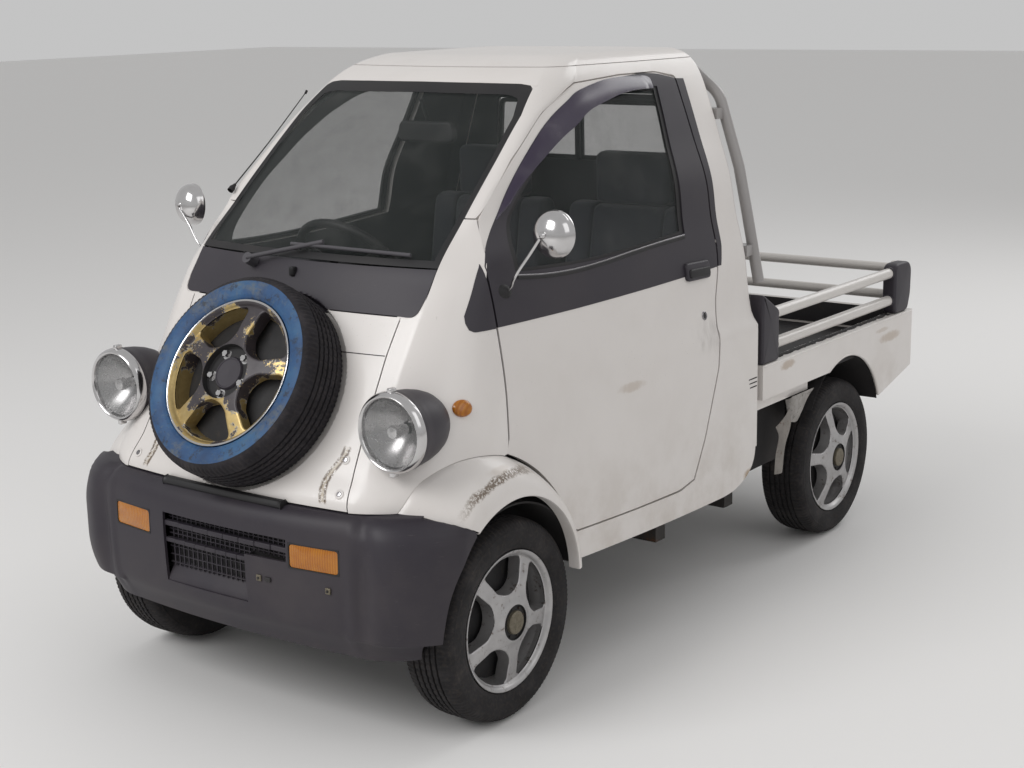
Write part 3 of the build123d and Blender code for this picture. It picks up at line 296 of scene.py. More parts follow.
# Level outlines: z, y_mid, x_face, y_face, x_corner, y_corner, x_end, y_end
BUMPER_LEVELS = (
    (236, -1335, 380, -1315, 490, -1282, 550, -1205),
    (290, -1368, 390, -1345, 520, -1300, 585, -1205),
    (298, -1380, 400, -1352, 565, -1302, 640, -1200),
    (400, -1393, 405, -1361, 580, -1312, 644, -1200),
    (480, -1395, 405, -1362, 580, -1312, 645, -1200),
    (556, -1392, 400, -1358, 572, -1300, 641, -1190),
    (588, -1378, 398, -1346, 556, -1285, 628, -1180),
    (602, -1356, 394, -1330, 535, -1270, 608, -1172),
)
CAB = Skin(CAB_LEVELS, 0)
BUMPER = Skin(BUMPER_LEVELS, -1100.0)


# ---------------------------------------------------------------- parts of a piece


def faces_of(rows, cols, wrap=False):
    """Four-sided faces over a grid of points, closed round the columns when wrapped."""
    i = np.arange(rows - 1)[:, None]
    j = np.arange(cols if wrap else cols - 1)[None]
    k = (j + 1) % cols
    return joined(i * cols + j, i * cols + k, (i + 1) * cols + k, (i + 1) * cols + j).reshape(-1, 4)


def sheet(p, finish=0, wrap=False, keep=None, away=CAB_HEART, shut=False):
    """Part over a grid of points, with one mark or a mark for each row of faces.

    Faces turn away from a point, or outwards when shut.
    """
    p = np.asarray(p, float)
    rows, cols = p.shape[:2]
    quads = faces_of(rows, cols, wrap)
    marks = np.repeat(np.broadcast_to(finish, rows - 1), cols if wrap else cols - 1)
    flat = p.reshape(-1, 3)
    if keep is not None:
        kept = np.asarray(keep(flat[quads].mean(1)))
        quads, marks = quads[kept], marks[kept]
    a, b, c, d = (flat[quads[:, k]] for k in range(4))
    n = np.cross(c - a, d - b)
    mid = (a + b + c + d) / 4
    centre = flat.mean(0) if shut else np.array(away)
    if np.sum(n * (mid - centre)) < 0:
        quads = quads[:, ::-1]
    return flat, quads.tolist(), marks


def capped(part, loop, finish):
    """A part with one flat many-sided face added over a loop of its points."""
    points, quads, marks = part
    return points, quads + [list(loop)], np.append(marks, finish)


def placed(part, turn=None, shift=(0, 0, 0)):
    """A part turned by a 3 by 3 matrix of columns and then shifted."""
    points, quads, marks = part
    if turn is not None:
        points = points @ np.array(turn, float).T
    return points + np.array(shift, float), quads, marks


def mirrored(part):
    """A part's image on the truck's other side, with its faces still outwards."""
    points, quads, marks = part
    return points * (-1, 1, 1), [quad[::-1] for quad in quads], marks


# Each side of the truck, with what takes the left side's parts to it
SIDES = (("left", placed), ("right", mirrored))


def frames_of(path, up):
    """Two normals along a path, the first as near to a direction as can be."""
    t = np.gradient(path, axis=0)
    t /= np.linalg.norm(t, axis=1)[:, None] + 1e-12
    n = np.array(up, float) - (t @ np.array(up, float))[:, None] * t
    n /= np.linalg.norm(n, axis=1)[:, None] + 1e-12
    return n, np.cross(t, n)


def tube(path, radius, finish=0, sides=14, up=(0, 0, 1), flat=1.0, ends=True):
    """Round bar along a path: a circle of the radius carried square to it."""
    path = np.array(path, float)
    radius = np.broadcast_to(np.asarray(radius, float), len(path)).copy()
    n, b = frames_of(path, up)
    if ends:
        path = np.concatenate([path[:1], path[:1], path, path[-1:], path[-1:]])
        n, b = (np.concatenate([v[:1], v[:1], v, v[-1:], v[-1:]]) for v in (n, b))
        radius = np.concatenate([[0], radius[:1] * 0.8, radius, radius[-1:] * 0.8, [0]])
    t = np.linspace(0, 2 * math.pi, sides, endpoint=False)[None, :, None]
    ring = np.cos(t) * n[:, None] * flat + np.sin(t) * b[:, None]
    return sheet(path[:, None] + ring * radius[:, None, None], finish, wrap=True, shut=True)


def polar(x, r, angle):
    """Points about the X axis, from distances along it, radii and angles."""
    return joined(x, r * np.cos(angle), r * np.sin(angle))


def basis(axis):
    """Columns of a turn that takes X to an axis."""
    x = np.array(axis, float) / np.linalg.norm(axis)
    z = np.array((1.0, 0, 0)) if abs(x[0]) < 0.9 else np.array((0, 0, 1.0))
    y = np.cross(z, x)
    y /= np.linalg.norm(y)
    return np.stack([x, y, np.cross(x, y)], 1)


def turned(profile, origin=(0, 0, 0), axis=(1, 0, 0), finish=0, sides=64, wave=None, shut=True, away=None):
    """Part turned about an axis from a profile of (distance along it, radius).

    A wave, when given, adds to the distance and the radius at each profile point and angle.
    """
    p = np.array(profile, float)
    t = np.linspace(0, 2 * math.pi, sides, endpoint=False)
    x = np.repeat(p[:, :1], sides, 1)
    r = np.repeat(p[:, 1:2], sides, 1)
    if wave is not None:
        dx, dr = wave(x, r, t[None])
        x, r = x + dx, r + dr
    part = sheet(polar(x, r, t), finish, wrap=True, shut=shut, away=away or (0, 0, 0))
    return placed(part, basis(axis), origin)


def block(lo, hi, radius, finish=0, steps=4):
    """Block with round edges: a ball cut in eight and moved out to the corners."""
    lo, hi = np.array(lo, float), np.array(hi, float)
    centre, half = (lo + hi) / 2, (hi - lo) / 2
    radius = min(radius, half.min() * 0.98)
    q = np.linspace(0, math.pi / 2, steps + 1)
    lon = np.concatenate([q + k * math.pi / 2 for k in range(4)])
    sx = np.repeat([1, -1, -1, 1], steps + 1)
    sy = np.repeat([1, 1, -1, -1], steps + 1)
    lat = np.concatenate([math.pi / 2 - q, -q])
    sz = np.repeat([1, -1], steps + 1)
    lat = lat[:, None]
    n = joined(np.cos(lat) * np.cos(lon), np.cos(lat) * np.sin(lon), np.sin(lat))
    core = half - radius
    s = joined(sx, sy, sz[:, None])
    part = sheet(centre + s * core + n * radius, finish, wrap=True, shut=True)
    cols = 4 * (steps + 1)
    picks = [k * (steps + 1) for k in range(4)]
    top = capped(part, picks, finish)
    return capped(top, [len(part[0]) - cols + k for k in reversed(picks)], finish)


def pillow(outline, x0, x1, radius, finish=0, axis=0):
    """An outline carried along X, or Y when axis is 1, from x0 to x1 and drawn in at both ends by a radius."""
    loop = np.array(outline, float)
    rows = []
    for share, depth in ((0, 0.999), (0.08, 0.6), (0.3, 0.28), (0.62, 0.08), (1, 0)):
        rows.append((x0 + (x1 - x0) / abs(x1 - x0) * radius * share, depth * radius))
    rows += [(x0 + x1 - x, d) for x, d in reversed(rows)]
    middle = np.repeat(loop.mean(0)[None], len(loop), 0)
    flats = [middle] + [drawn_in(loop, d) for _, d in rows] + [middle]
    xs = [rows[0][0]] + [x for x, _ in rows] + [rows[-1][0]]
    order = (1, 0, 2) if axis else (0, 1, 2)
    grid = np.array([joined(x, *flat.T) for x, flat in zip(xs, flats)])
    return sheet(grid[..., order], finish, wrap=True, shut=True)


def build(name, parts, looks, body, stands_for=(), slot="", both=False, thick=0.0, inner="", sharp=38.0, bevel=0.0):
    """Blender object from parts, with its walls, edges and shading finished and its body set.

    The looks are names of finishes in the order of the parts' marks, and inner is the finish inside a thick wall.
    """
    parts = list(parts)
    if both:
        parts += [mirrored(part) for part in parts]
    start, points, faces, marks = 0, [], [], []
    for p, quads, mark in parts:
        points.append(p)
        faces += [[v + start for v in quad] for quad in quads]
        marks.append(mark)
        start += len(p)
    points = np.concatenate(points) * MM
    points[:, 1] += SHIFT_Y * MM
    mesh = bpy.data.meshes.new(name)
    mesh.from_pydata(points.tolist(), [], faces)
    mesh.polygons.foreach_set("material_index", np.concatenate(marks).astype(np.int32))
    keys = looks.split() + ([inner] if inner else [])
    for key in keys:
        mesh.materials.append(finishes()[key])
    bm = bmesh.new()
    bm.from_mesh(mesh)
    bmesh.ops.remove_doubles(bm, verts=bm.verts, dist=3e-5)
    bmesh.ops.dissolve_degenerate(bm, edges=bm.edges, dist=1e-6)
    bm.to_mesh(mesh)
    bm.free()
    obj = bpy.data.objects.new(name, mesh)
    bpy.context.scene.collection.objects.link(obj)
    if thick:
        wall = obj.modifiers.new("wall", "SOLIDIFY")
        wall.thickness, wall.offset = thick * MM, -1.0
        wall.material_offset = len(looks.split()) if inner else 0
    if bevel:
        edge = obj.modifiers.new("edge", "BEVEL")
        edge.width, edge.segments, edge.limit_method = bevel * MM, 2, "ANGLE"
        edge.angle_limit = math.radians(sharp)
    if obj.modifiers:
        done = bpy.data.meshes.new_from_object(obj.evaluated_get(bpy.context.evaluated_depsgraph_get()))
        obj.modifiers.clear()
        obj.data = done
        done.name = name
    obj.data.polygons.foreach_set("use_smooth", np.ones(len(obj.data.polygons), bool))
    obj.data.set_sharp_from_angle(angle=math.radians(sharp))
    obj.data.update()
    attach(obj, body)
    if stands_for:
        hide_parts(*stands_for)
    return obj


def trim(name, parts, looks="trim", **more):
    """Piece of dark plastic fixed to the body."""
    return build(name, parts, looks, "body", slot="dark_plastic", **more)


# ---------------------------------------------------------------- materials


class Value:
    """A number in a material. A sum on values adds its Math nodes."""

    def __init__(self, finish, socket):
        self.finish, self.socket = finish, socket

    def sum(self, operation, first, second=0.0):
        return self.finish.node("Math", {"operation": operation}, i0=first, i1=second)

    def __add__(self, other):
        return self.sum("ADD", self, other)

    def __sub__(self, other):
        return self.sum("SUBTRACT", self, other)

    def __rsub__(self, other):
        return self.sum("SUBTRACT", other, self)

    def __mul__(self, other):
        return self.sum("MULTIPLY", self, other)

    def __truediv__(self, other):
        return self.sum("DIVIDE", self, other)

    __radd__ = __add__
    __rmul__ = __mul__

    def __abs__(self):
        return self.sum("ABSOLUTE", self)

    def least(self, other):
        return self.sum("MINIMUM", self, other)

    def most(self, other):
        return self.sum("MAXIMUM", self, other)

    def wave(self):
        return self.sum("SINE", self)

    def root(self):
        return self.sum("SQRT", self)

    def rise(self, low, high):
        """0 below low and 1 above high, eased between; falls when low is above high."""
        if low > high:
            return 1 - self.rise(high, low)
        return self.finish.node(
            "MapRange", {"interpolation_type": "SMOOTHSTEP"}, Value=self, From_Min=low, From_Max=high
        )


class Finish:
    """A material made of nodes. Its x, y and z are millimetres of the tables."""

    def __init__(self, name):
        self.material = bpy.data.materials.new(name)
        self.material.use_nodes = True
        self.tree = self.material.node_tree
        self.tree.nodes.clear()
        self.coords = self.node("TexCoord", out="Object")
        split = self.node("SeparateXYZ", Vector=self.coords).socket.node
        self.x = Value(self, split.outputs[0]) / MM
        self.y = Value(self, split.outputs[1]) / MM - SHIFT_Y
        self.z = Value(self, split.outputs[2]) / MM

    def node(self, kind, settings=None, out=0, **sockets):
        """Adds a node of a kind, with its settings first and then its sockets' values or links."""
        made = self.tree.nodes.new("ShaderNode" + kind)
        for key, value in (settings or {}).items():
            if key == "stops":
                ramp = made.color_ramp.elements
                while len(ramp) < len(value):
                    ramp.new(0.5)
                for element, (at, colour) in zip(ramp, value):
                    element.position, element.color = at, (*colour, 1)
            else:
                setattr(made, key, value)
        for key, value in sockets.items():
            socket = made.inputs[int(key[1:]) if key[1:].isdigit() else key.replace("_", " ")]
            if isinstance(value, Value):
                self.tree.links.new(value.socket, socket)
            elif isinstance(value, tuple) and len(value) == 3 and socket.type == "RGBA":
                socket.default_value = (*value, 1)
            else:
                socket.default_value = value
        return Value(self, made.outputs[out])

    def noise(self, scale, detail=3.0, rough=0.5, stretch=None, warp=0.0):
        """Cloudy noise from 0 to 1, with a scale in repeats to the metre."""
        at = self.coords
        if stretch:
            at = self.node("Mapping", Vector=at, Scale=stretch)
        return self.node("TexNoise", Vector=at, Scale=scale, Detail=detail, Roughness=rough, Distortion=warp)

    def spots(self, scale):
        """Distance to the nearest of scattered points."""
        return self.node("TexVoronoi", Vector=self.coords, Scale=scale, Randomness=1.0)

    def mix(self, share, first, second):
        """Colour between two colours."""
        return self.node("Mix", {"data_type": "RGBA"}, out=2, i0=share, i6=first, i7=second)

    def tones(self, share, *stops):
        """Colour of a share along a ramp."""
        return self.node("ValToRGB", {"stops": stops}, Fac=share)

    def bump(self, height, strength):
        """Normal of a height in millimetres."""
        return self.node("Bump", Height=height, Distance=MM, Strength=strength)

    def done(self, colour, roughness, normal=None, **fixed):
        """Closes the material with its shader."""
        if normal is not None:
            fixed["Normal"] = normal
        shader = self.node("BsdfPrincipled", Base_Color=colour, Roughness=roughness, **fixed)
        end = self.tree.nodes.new("ShaderNodeOutputMaterial")
        self.tree.links.new(shader.socket, end.inputs["Surface"])
        return self.material


# Scrape on either side of the nose: x and z of its middle, half its height, its lean and its sway
NOSE_SCRAPE = (314.0, 682.0, 66.0, 0.10, 11.0)
# Stains on the left side: y, z, half width, half height and strength
STAINS = (
    (-410, 762, 70, 16, 0.30), (452, 664, 60, 16, 0.55), (1215, 622, 95, 20, 0.45), (1150, 655, 60, 9, 0.3),
    (215, 366, 46, 26, 0.85), (-1010, 672, 55, 10, 0.2),
)
DIRT = (0.30, 0.235, 0.17)


def grime(f, strength=1.0):
    """Share of road dirt: thick near the ground, blotched, and thin higher up."""
    low = f.z.rise(700, 250)
    return (f.noise(5.5, 6, 0.62).rise(0.42, 0.72) * (low * 0.55 + 0.10) + low * 0.10) * strength


def paint_finish(name, tint, scraped):
    """Aged solid paint: faint cloudiness, dirt low down, chips, and scrapes where asked."""
    f = Finish(name)
    cloud = f.noise(2.2, 4, 0.55)
    colour = f.mix(cloud, tuple(c * 0.955 for c in tint), tuple(min(1, c * 1.035) for c in tint))
    colour = f.mix(grime(f) * 0.5, colour, DIRT)
    specks = f.spots(95).rise(0.11, 0.05) * f.noise(7, 2).rise(0.52, 0.68)
    colour = f.mix(specks * 0.45, colour, (0.16, 0.13, 0.11))
    if scraped:
        grit = f.noise(160, 3, 0.7).rise(0.38, 0.55)
        x0, z0, tall, lean, sway = NOSE_SCRAPE
        rise = f.z - z0
        off = abs(abs(f.x) - x0 - rise * lean - (rise * 0.046 - 0.9).wave() * sway)
        ahead = f.y.rise(-1150, -1200)
        line = off.rise(2.0, 5.0) * off.rise(14.0, 9.0) * abs(rise).rise(tall, tall - 10) * ahead
        # Scrape along the top of the left flare, following the arch
        up, back = f.z - LIP_Z, f.y - LIP_Y
        ring = (up * up + back * back).root() + f.noise(26, 3) * 16 - 339
        flare = abs(ring).rise(12, 4) * back.rise(160, 60) * back.rise(-210, -120)
        flare = flare * f.x.rise(575, 590) * up.rise(150, 200)
        inside = abs(rise).rise(tall, tall - 12) * ahead
        core = off.rise(11.0, 8.0) * off.rise(4.0, 6.0) * inside
        fill = off.rise(12.0, 7.0) * inside + flare * 0.4
        colour = f.mix(fill.least(1.0) * grit * 0.8, colour, (0.36, 0.29, 0.19))
        mark = (line + flare).least(1.0) * grit
        colour = f.mix(mark * 0.85, colour, (0.17, 0.11, 0.065))
        colour = f.mix((core + flare * 0.5) * grit * 0.7, colour, (0.035, 0.027, 0.022))
        for y, z, wide, tall, share in STAINS:
            along_y, along_z = (f.y - y) / wide, (f.z - z) / tall
            d = along_y * along_y + along_z * along_z
            stain = (d + f.noise(38, 4, 0.7) * 1.6).rise(1.9, 0.9) * f.x.rise(300, 380) * share
            colour = f.mix(stain, colour, (0.28, 0.17, 0.07))
    rough = 0.30 + cloud * 0.10 + grime(f) * 0.35
    dent = f.noise(3.1, 2, 0.4) * 1.2 + f.noise(420, 2, 0.5) * 0.02
    return f.done(colour, rough, f.bump(dent, 0.35), Coat_Weight=0.35, Coat_Roughness=0.12)


def plastic_finish(name, tint, rough=0.55, grain=0.10, dusty=0.5, scale=900.0):
    """Moulded plastic or matt black paint, with a fine grain and dust in broad patches."""
    f = Finish(name)
    cloud = f.noise(4.0, 5, 0.6)
    dust = cloud.rise(0.35, 0.75) * 0.35 * dusty + grime(f, dusty) * 0.5
    colour = f.mix(dust, tint, tuple(0.5 * c + 0.5 * d for c, d in zip(tint, (0.20, 0.17, 0.15))))
    scuff = f.noise(28, 4, 0.7, (1, 1, 7)).rise(0.62, 0.74) * f.noise(3, 2).rise(0.5, 0.62)
    colour = f.mix(scuff * 0.35 * dusty, colour, (0.22, 0.20, 0.19))
    height = f.noise(scale, 3, 0.6) * grain
    return f.done(colour, rough + dust * 0.25, f.bump(height, 0.6), Specular_IOR_Level=0.4)


def rubber_finish(name, tint, stain):
    """Tyre rubber, greyed and browned by dust, with fine rings of wear."""
    f = Finish(name)
    cloud = f.noise(16, 5, 0.65)
    fine = f.noise(120, 4, 0.6)
    colour = f.mix(cloud.rise(0.3, 0.75), tint, tuple(c * 1.7 + 0.006 for c in tint))
    dust = fine.rise(0.45, 0.7) * 0.35 * stain + cloud.rise(0.5, 0.8) * 0.3 * stain
    colour = f.mix(dust, colour, (0.13, 0.10, 0.075))
    return f.done(colour, 0.72 + fine * 0.15, f.bump(fine * 0.25, 0.5), Specular_IOR_Level=0.3)


def blue_rubber_finish():
    """Sidewall painted blue, weathered to pale patches and bare rubber at its edges."""
    f = Finish("blue_rubber")
    cloud = f.noise(11, 5, 0.6)
    streak = f.noise(70, 5, 0.7)
    blue = f.tones(cloud, (0.25, (0.006, 0.032, 0.095)), (0.5, (0.010, 0.060, 0.165)), (0.75, (0.030, 0.110, 0.220)))
    blue = f.mix(streak.rise(0.50, 0.75) * 0.6, blue, (0.075, 0.11, 0.135))
    ochre = f.noise(7, 3, 0.5).rise(0.56, 0.70) * streak.rise(0.35, 0.6)
    blue = f.mix(ochre * 0.45, blue, (0.14, 0.13, 0.085))
    worn = f.noise(34, 6, 0.75).rise(0.54, 0.64)
    blue = f.mix(worn * 0.75, blue, (0.010, 0.013, 0.020))
    return f.done(blue, 0.48 + streak * 0.2, f.bump(streak * 0.3, 0.5))


def metal_finish(name, tint, rough=0.35, mottled=0.25, metallic=1.0, scale=60.0, spot=None):
    """Cast or plated metal with a soft mottle, fine grain and darker dust in patches."""
    f = Finish(name)
    cloud = f.noise(scale, 4, 0.6)
    colour = f.mix(cloud.rise(0.3, 0.75) * mottled, tint, tuple(c * 0.55 for c in tint))
    if spot:
        colour = f.mix(f.noise(scale * 1.7, 6, 0.7).rise(0.56, 0.66) * 0.8, colour, spot)
    return f.done(
        colour, rough + cloud * 0.18, f.bump(f.noise(scale * 9, 3, 0.6) * 0.03, 0.5), Metallic=metallic
    )


def peeled_finish():
    """Spare wheel's lacquer: near-black grey, peeled back to bright brass in ragged islands."""
    f = Finish("peeled_lacquer")
    shape = f.noise(10.5, 5, 0.62, warp=0.35) + f.z.rise(1010, 800) * 0.10
    bare = shape.rise(0.545, 0.558).most(f.spots(190).rise(0.34, 0.2) * shape.rise(0.47, 0.53))
    lacquer = f.mix(f.noise(50, 4, 0.6), (0.022, 0.018, 0.022), (0.060, 0.050, 0.055))
    brass = f.mix(f.noise(85, 4, 0.6), (0.34, 0.235, 0.085), (0.56, 0.43, 0.20))
    edge = shape.rise(0.53, 0.545) * shape.rise(0.57, 0.556)
    colour = f.mix(bare, f.mix(edge * 0.6, lacquer, (0.45, 0.42, 0.36)), brass)
    height = bare * -0.25 + f.noise(300, 3, 0.6) * 0.05
    return f.done(colour, 0.42 - bare * 0.06, f.bump(height, 0.7), Metallic=bare * 0.55 + 0.1)


def glass_finish(name, tint, clear, rough=0.02):
    """Glass that lets most light by, darker and glossier at a glancing angle."""
    f = Finish(name)
    edge = f.node("LayerWeight", out="Facing", Blend=0.35)
    dust = f.noise(9, 4, 0.6).rise(0.45, 0.8) * 0.06
    alpha = (edge * 0.35 + (1 - clear) + dust).least(1.0)
    return f.done(f.mix(dust, tint, (0.5, 0.48, 0.45)), rough, Alpha=alpha, Specular_IOR_Level=0.8)


def lens_finish(name, tint, dark, pitch):
    """Moulded lamp lens: ribs of a pitch in millimetres under a glossy, slightly cloudy face."""
    f = Finish(name)
    ribs = (f.x * (2 * math.pi / pitch)).wave()
    colour = f.mix(ribs.rise(-1.6, 1.6) * 0.6 + f.noise(30, 3).rise(0.3, 0.7) * 0.4, dark, tint)
    return f.done(colour, 0.22, f.bump(ribs * 0.5, 0.5), Coat_Weight=0.25, Coat_Roughness=0.08)


def cloth_finish(name, tint, thread, pitch=1.6):
    """Seat cloth: a plain weave, faded in patches."""
    f = Finish(name)
    k = 2 * math.pi / pitch
    weave = (f.x * k).wave() * ((f.z + f.y) * k).wave()
    colour = f.mix(weave.rise(-0.6, 0.6), tint, thread)
    colour = f.mix(f.noise(8, 4, 0.6).rise(0.4, 0.8) * 0.3, colour, (0.16, 0.15, 0.15))
    return f.done(colour, 0.9, f.bump(weave * 0.25, 0.6), Sheen_Weight=0.3)


FINISHES = {}


def finishes():
    """All the truck's finishes by name, made once."""
    if FINISHES:
        return FINISHES
    look = bpy.context.scene.truck_look
    FINISHES.update(
        paint=paint_finish("white_paint", tuple(look.body_colour), True),
        tube_paint=paint_finish("tube_paint", (0.62, 0.59, 0.56), False),
        # The guard hoop is white like the body; its dark grey here is painted shade.
        hoop_paint=paint_finish("hoop_paint", (0.30, 0.285, 0.28), False),
        matt_black=plastic_finish("matt_black", (0.030, 0.026, 0.034), 0.45, 0.05, 0.25, 700),
        bumper=plastic_finish("bumper_plastic", (0.024, 0.020, 0.028), 0.50, 0.14, 0.4),
        trim=plastic_finish("dark_trim", (0.010, 0.0095, 0.011), 0.50, 0.06, 0.25),
        cabin=plastic_finish("cabin_plastic", (0.040, 0.040, 0.045), 0.6, 0.15, 0.3, 1400),
        guard=plastic_finish("wheel_guard", (0.011, 0.010, 0.011), 0.8, 0.2, 0.4),
        tyre=rubber_finish("tyre_rubber", (0.011, 0.010, 0.011), 0.35),
        spare_tyre=rubber_finish("spare_rubber", (0.012, 0.0105, 0.013), 0.25),
        blue=blue_rubber_finish(),
        alloy=metal_finish("silver_alloy", (0.46, 0.45, 0.45), 0.34, 0.3, 0.85, 26, (0.16, 0.13, 0.11)),
        peeled=peeled_finish(),
        chrome=metal_finish("chrome", (0.62, 0.61, 0.61), 0.07, 0.15, 1.0, 40),
        dull_chrome=metal_finish("dull_chrome", (0.30, 0.29, 0.30), 0.16, 0.3, 1.0, 40),
        reflector=metal_finish("reflector", (0.42, 0.41, 0.41), 0.18, 0.2, 1.0, 30),
        # Near-black steel with rust: dark paint, darkened further as painted shade under the body.
        steel=metal_finish("under_steel_and_shade", (0.030, 0.026, 0.024), 0.6, 0.6, 0.35, 14, (0.075, 0.032, 0.013)),
        # Near-black barrel finish: painted shade deep in the wheels, on the barrel, the back plate and the hub's
        # recess.
        barrel=metal_finish("rim_barrel_painted_shade", (0.016, 0.015, 0.016), 0.5, 0.5, 0.3, 26, (0.030, 0.024, 0.020)),
        worn_paint=metal_finish("worn_edge", (0.36, 0.34, 0.32), 0.6, 0.6, 0.1, 34, (0.05, 0.04, 0.035)),
        rusty_paint=metal_finish("rusty_edge", (0.24, 0.22, 0.20), 0.6, 0.6, 0.1, 22, (0.085, 0.038, 0.016)),
        gold_cap=metal_finish("worn_cap", (0.20, 0.175, 0.13), 0.45, 0.6, 0.7, 120, (0.05, 0.04, 0.025)),
        glass=glass_finish("window_glass", (0.030, 0.037, 0.035), 0.90),
        visor=glass_finish("tinted_visor", (0.018, 0.008, 0.034), 0.15, 0.24),
        lamp_glass=glass_finish("lamp_glass", (0.30, 0.31, 0.31), 0.86, 0.04),
        amber=lens_finish("amber_lens", (0.44, 0.165, 0.004), (0.30, 0.085, 0.002), 7.0),
        red=lens_finish("red_lens", (0.32, 0.012, 0.010), (0.16, 0.004, 0.004), 6.0),
        cloth=cloth_finish("seat_cloth", (0.030, 0.032, 0.042), (0.055, 0.058, 0.075)),
        # Near-black bed sheet: a dark lining, darkened also as painted shade inside the bed.
        bed=metal_finish("bed_sheet", (0.026, 0.024, 0.026), 0.6, 0.5, 0.2, 9, (0.050, 0.036, 0.028)),
        mirror=metal_finish("mirror_glass", (0.85, 0.86, 0.87), 0.02, 0.05, 1.0, 30),
    )
    return FINISHES


# Finish of each CAD node that is shown as it is
KEPT_NODES = {
    "chassis_frame": "steel", "floor_pan": "guard", "seat_box": "cabin", "steering_column": "trim",
    "engine_block": "steel", "rear_axle": "steel", "side_box": "guard", "leaf_springs": "steel",
    # guard_hoop's white tube takes a dark grey that is painted shade
    "knuckle_left": "steel", "knuckle_right": "steel", "guard_hoop": "hoop_paint", "bed_sides": "paint",
    "bed_floor": "bed", "tail_panel": "paint", "dashboard": "cabin",
}


# ---------------------------------------------------------------- bodywork

SEAM = 3.5
# Walls of the painted skins, the cab's frame and the doors
SKIN_WALL, CAB_WALL, DOOR_WALL = 3.0, 12.0, 26.0
DISH_EDGE = 6.0
ARCH_Y, ARCH_Z = -1045.0, 318.0
# Radius of the seam round the flare, at degrees from +Y
ARCH_RADII = np.array(((-30, 386), (11, 386), (45, 380), (62, 381), (80, 386), (99, 394), (112, 387), (120, 375),
                       (127, 359), (140, 330), (220, 300)), float)
SPARE_FACE = np.array((0.0, -1323.0, 910.0))
SPARE_TILT = math.radians(31.2)
SPARE_N = np.array((0.0, -math.cos(SPARE_TILT), math.sin(SPARE_TILT)))
TYRE_W = 155.0
TYRE_R = 264.0
RIM_R = 182.5
SPARE_RIM_R = 194.0
SPARE_SINK = 4.0
# Turn of the spare wheel's spokes, in radians
SPARE_PHASE = 0.55
DISH_R = TYRE_R + 5
DISH_FLOOR = SPARE_FACE - SPARE_N * (TYRE_W + SPARE_SINK)


def arch_radius(angle):
    """Radius of the flare's seam at angles in degrees from +Y."""
    return eased(np.atleast_1d(angle), ARCH_RADII[:, 0], ARCH_RADII[:, 1:])[:, 0]


def arch(extra, start, end, count=24):
    """Points of Y and Z along the flare's seam, moved out by an amount, between two angles in degrees from +Y."""
    a = np.linspace(start, end, count)
    r = arch_radius(a) + extra
    t = np.radians(a)
    return [tuple(p) for p in joined(ARCH_Y + r * np.cos(t), ARCH_Z + r * np.sin(t))]


def arch_angle(extra, z, low, high):
    """Angle between two others at which the moved seam passes a height."""
    a = np.linspace(low, high, 400)
    heights = np.array(arch(extra, low, high, 400))[:, 1]
    order = np.argsort(heights)
    return float(np.interp(z, heights[order], a[order]))


def dished(points):
    """Points inside the spare wheel's round dish, pushed back along its axis to the dish's floor."""
    away = points - DISH_FLOOR
    height = away @ SPARE_N
    around = np.linalg.norm(away - height[..., None] * SPARE_N, axis=-1)
    share = np.clip((DISH_R - around) / DISH_EDGE, 0, 1)
    return points - (np.clip(height, 0, None) * share * share * (3 - 2 * share))[..., None] * SPARE_N


# Outlines of Y and Z on the side, from front to rear or from low to high
WINDOW = {
    "low": flowing(((-800, 1124), (-700, 1119), (-523, 1115), (-318, 1120), (-56, 1134)), 30),
    "high": flowing(((-372, 1506), (-300, 1529), (-220, 1541), (-100, 1545), (4, 1541)), 30),
    "front": flowing(((-800, 1124), (-795, 1180), (-772, 1235), (-712, 1298), (-640, 1352), (-572, 1402),
                      (-500, 1446), (-437, 1480), (-372, 1506)), 40),
    "rear": flowing(((-56, 1134), (-48, 1240), (-28, 1359), (-8, 1464), (4, 1541)), 30),
}
DOOR = {
    "low": ((-896, 1000), (-896, 700), *arch(7, arch_angle(7, 688, 40, 85), arch_angle(7, 418, 0, 40)), (-400, 416),
            (-184, 417), (-112, 433)),
    "high": ((-354, 1566), (-150, 1578), (20, 1578), (107, 1560)),
    "front": ((-896, 1000), (-896, 1100), *flowing(((-896, 1118), (-842, 1262), (-765, 1330), (-679, 1396),
              (-602, 1450), (-524, 1500), (-440, 1538), (-354, 1566)), 40)),
    "rear": ((-112, 433), (-55, 540), (20, 740), (28, 820), (50, 930), (79, 1004), (96, 1080), (107, 1560)),
}
BAND = {
    "low": ((-896, 1000), (-600, 1004), (-300, 1011), (86, 1021)),
    "high": flowing(((-417, 1522), (-366, 1542), (-307, 1557), (-231, 1568), (-150, 1574), (20, 1575),
                     (106, 1559)), 40),
    "front": ((-896, 1000), (-896, 1120), *flowing(((-896, 1150), (-877, 1184), (-840, 1218), (-800, 1252),
              (-753, 1302), (-673, 1372), (-607, 1421), (-548, 1460), (-482, 1495), (-417, 1522)), 40)),
    "rear": ((83, 1021), (95.5, 1080), (106.5, 1559)),
}
SCREEN_SIDE = ((411, 1150), (404, 1264), (396, 1394), (386, 1497), (366, 1560))
SCREEN_TOP = ((0, 1575), (320, 1572), (352, 1568), (366, 1560))
NOSE_SIDE = ((388, 606), (371, 690), (360, 820), (357, 949), (362, 1037))
# Lower rear edge of the cab's side
REAR_CURVE = ((60, 336), (112, 340), (150, 349), (182, 361), (208, 376), (230, 396), (243, 420), (247, 448))
REAR_WALL_SIDE = ((540, 560), (540, 1040), (400, 1500))
# Place along the cab's outlines just ahead of their rear corner
SIDE_END = CAB.last_side - 1.0


def side_loop(sides, counts):
    """Closed line of places round four sides, with a count of points on each."""
    low, rear, high, front = (
        CAB.edge("y", sides[key], n) for key, n in zip(("low", "rear", "high", "front"), counts)
    )
    return np.concatenate([low[:-1], rear[:-1], high[::-1][:-1], front[::-1][:-1]])


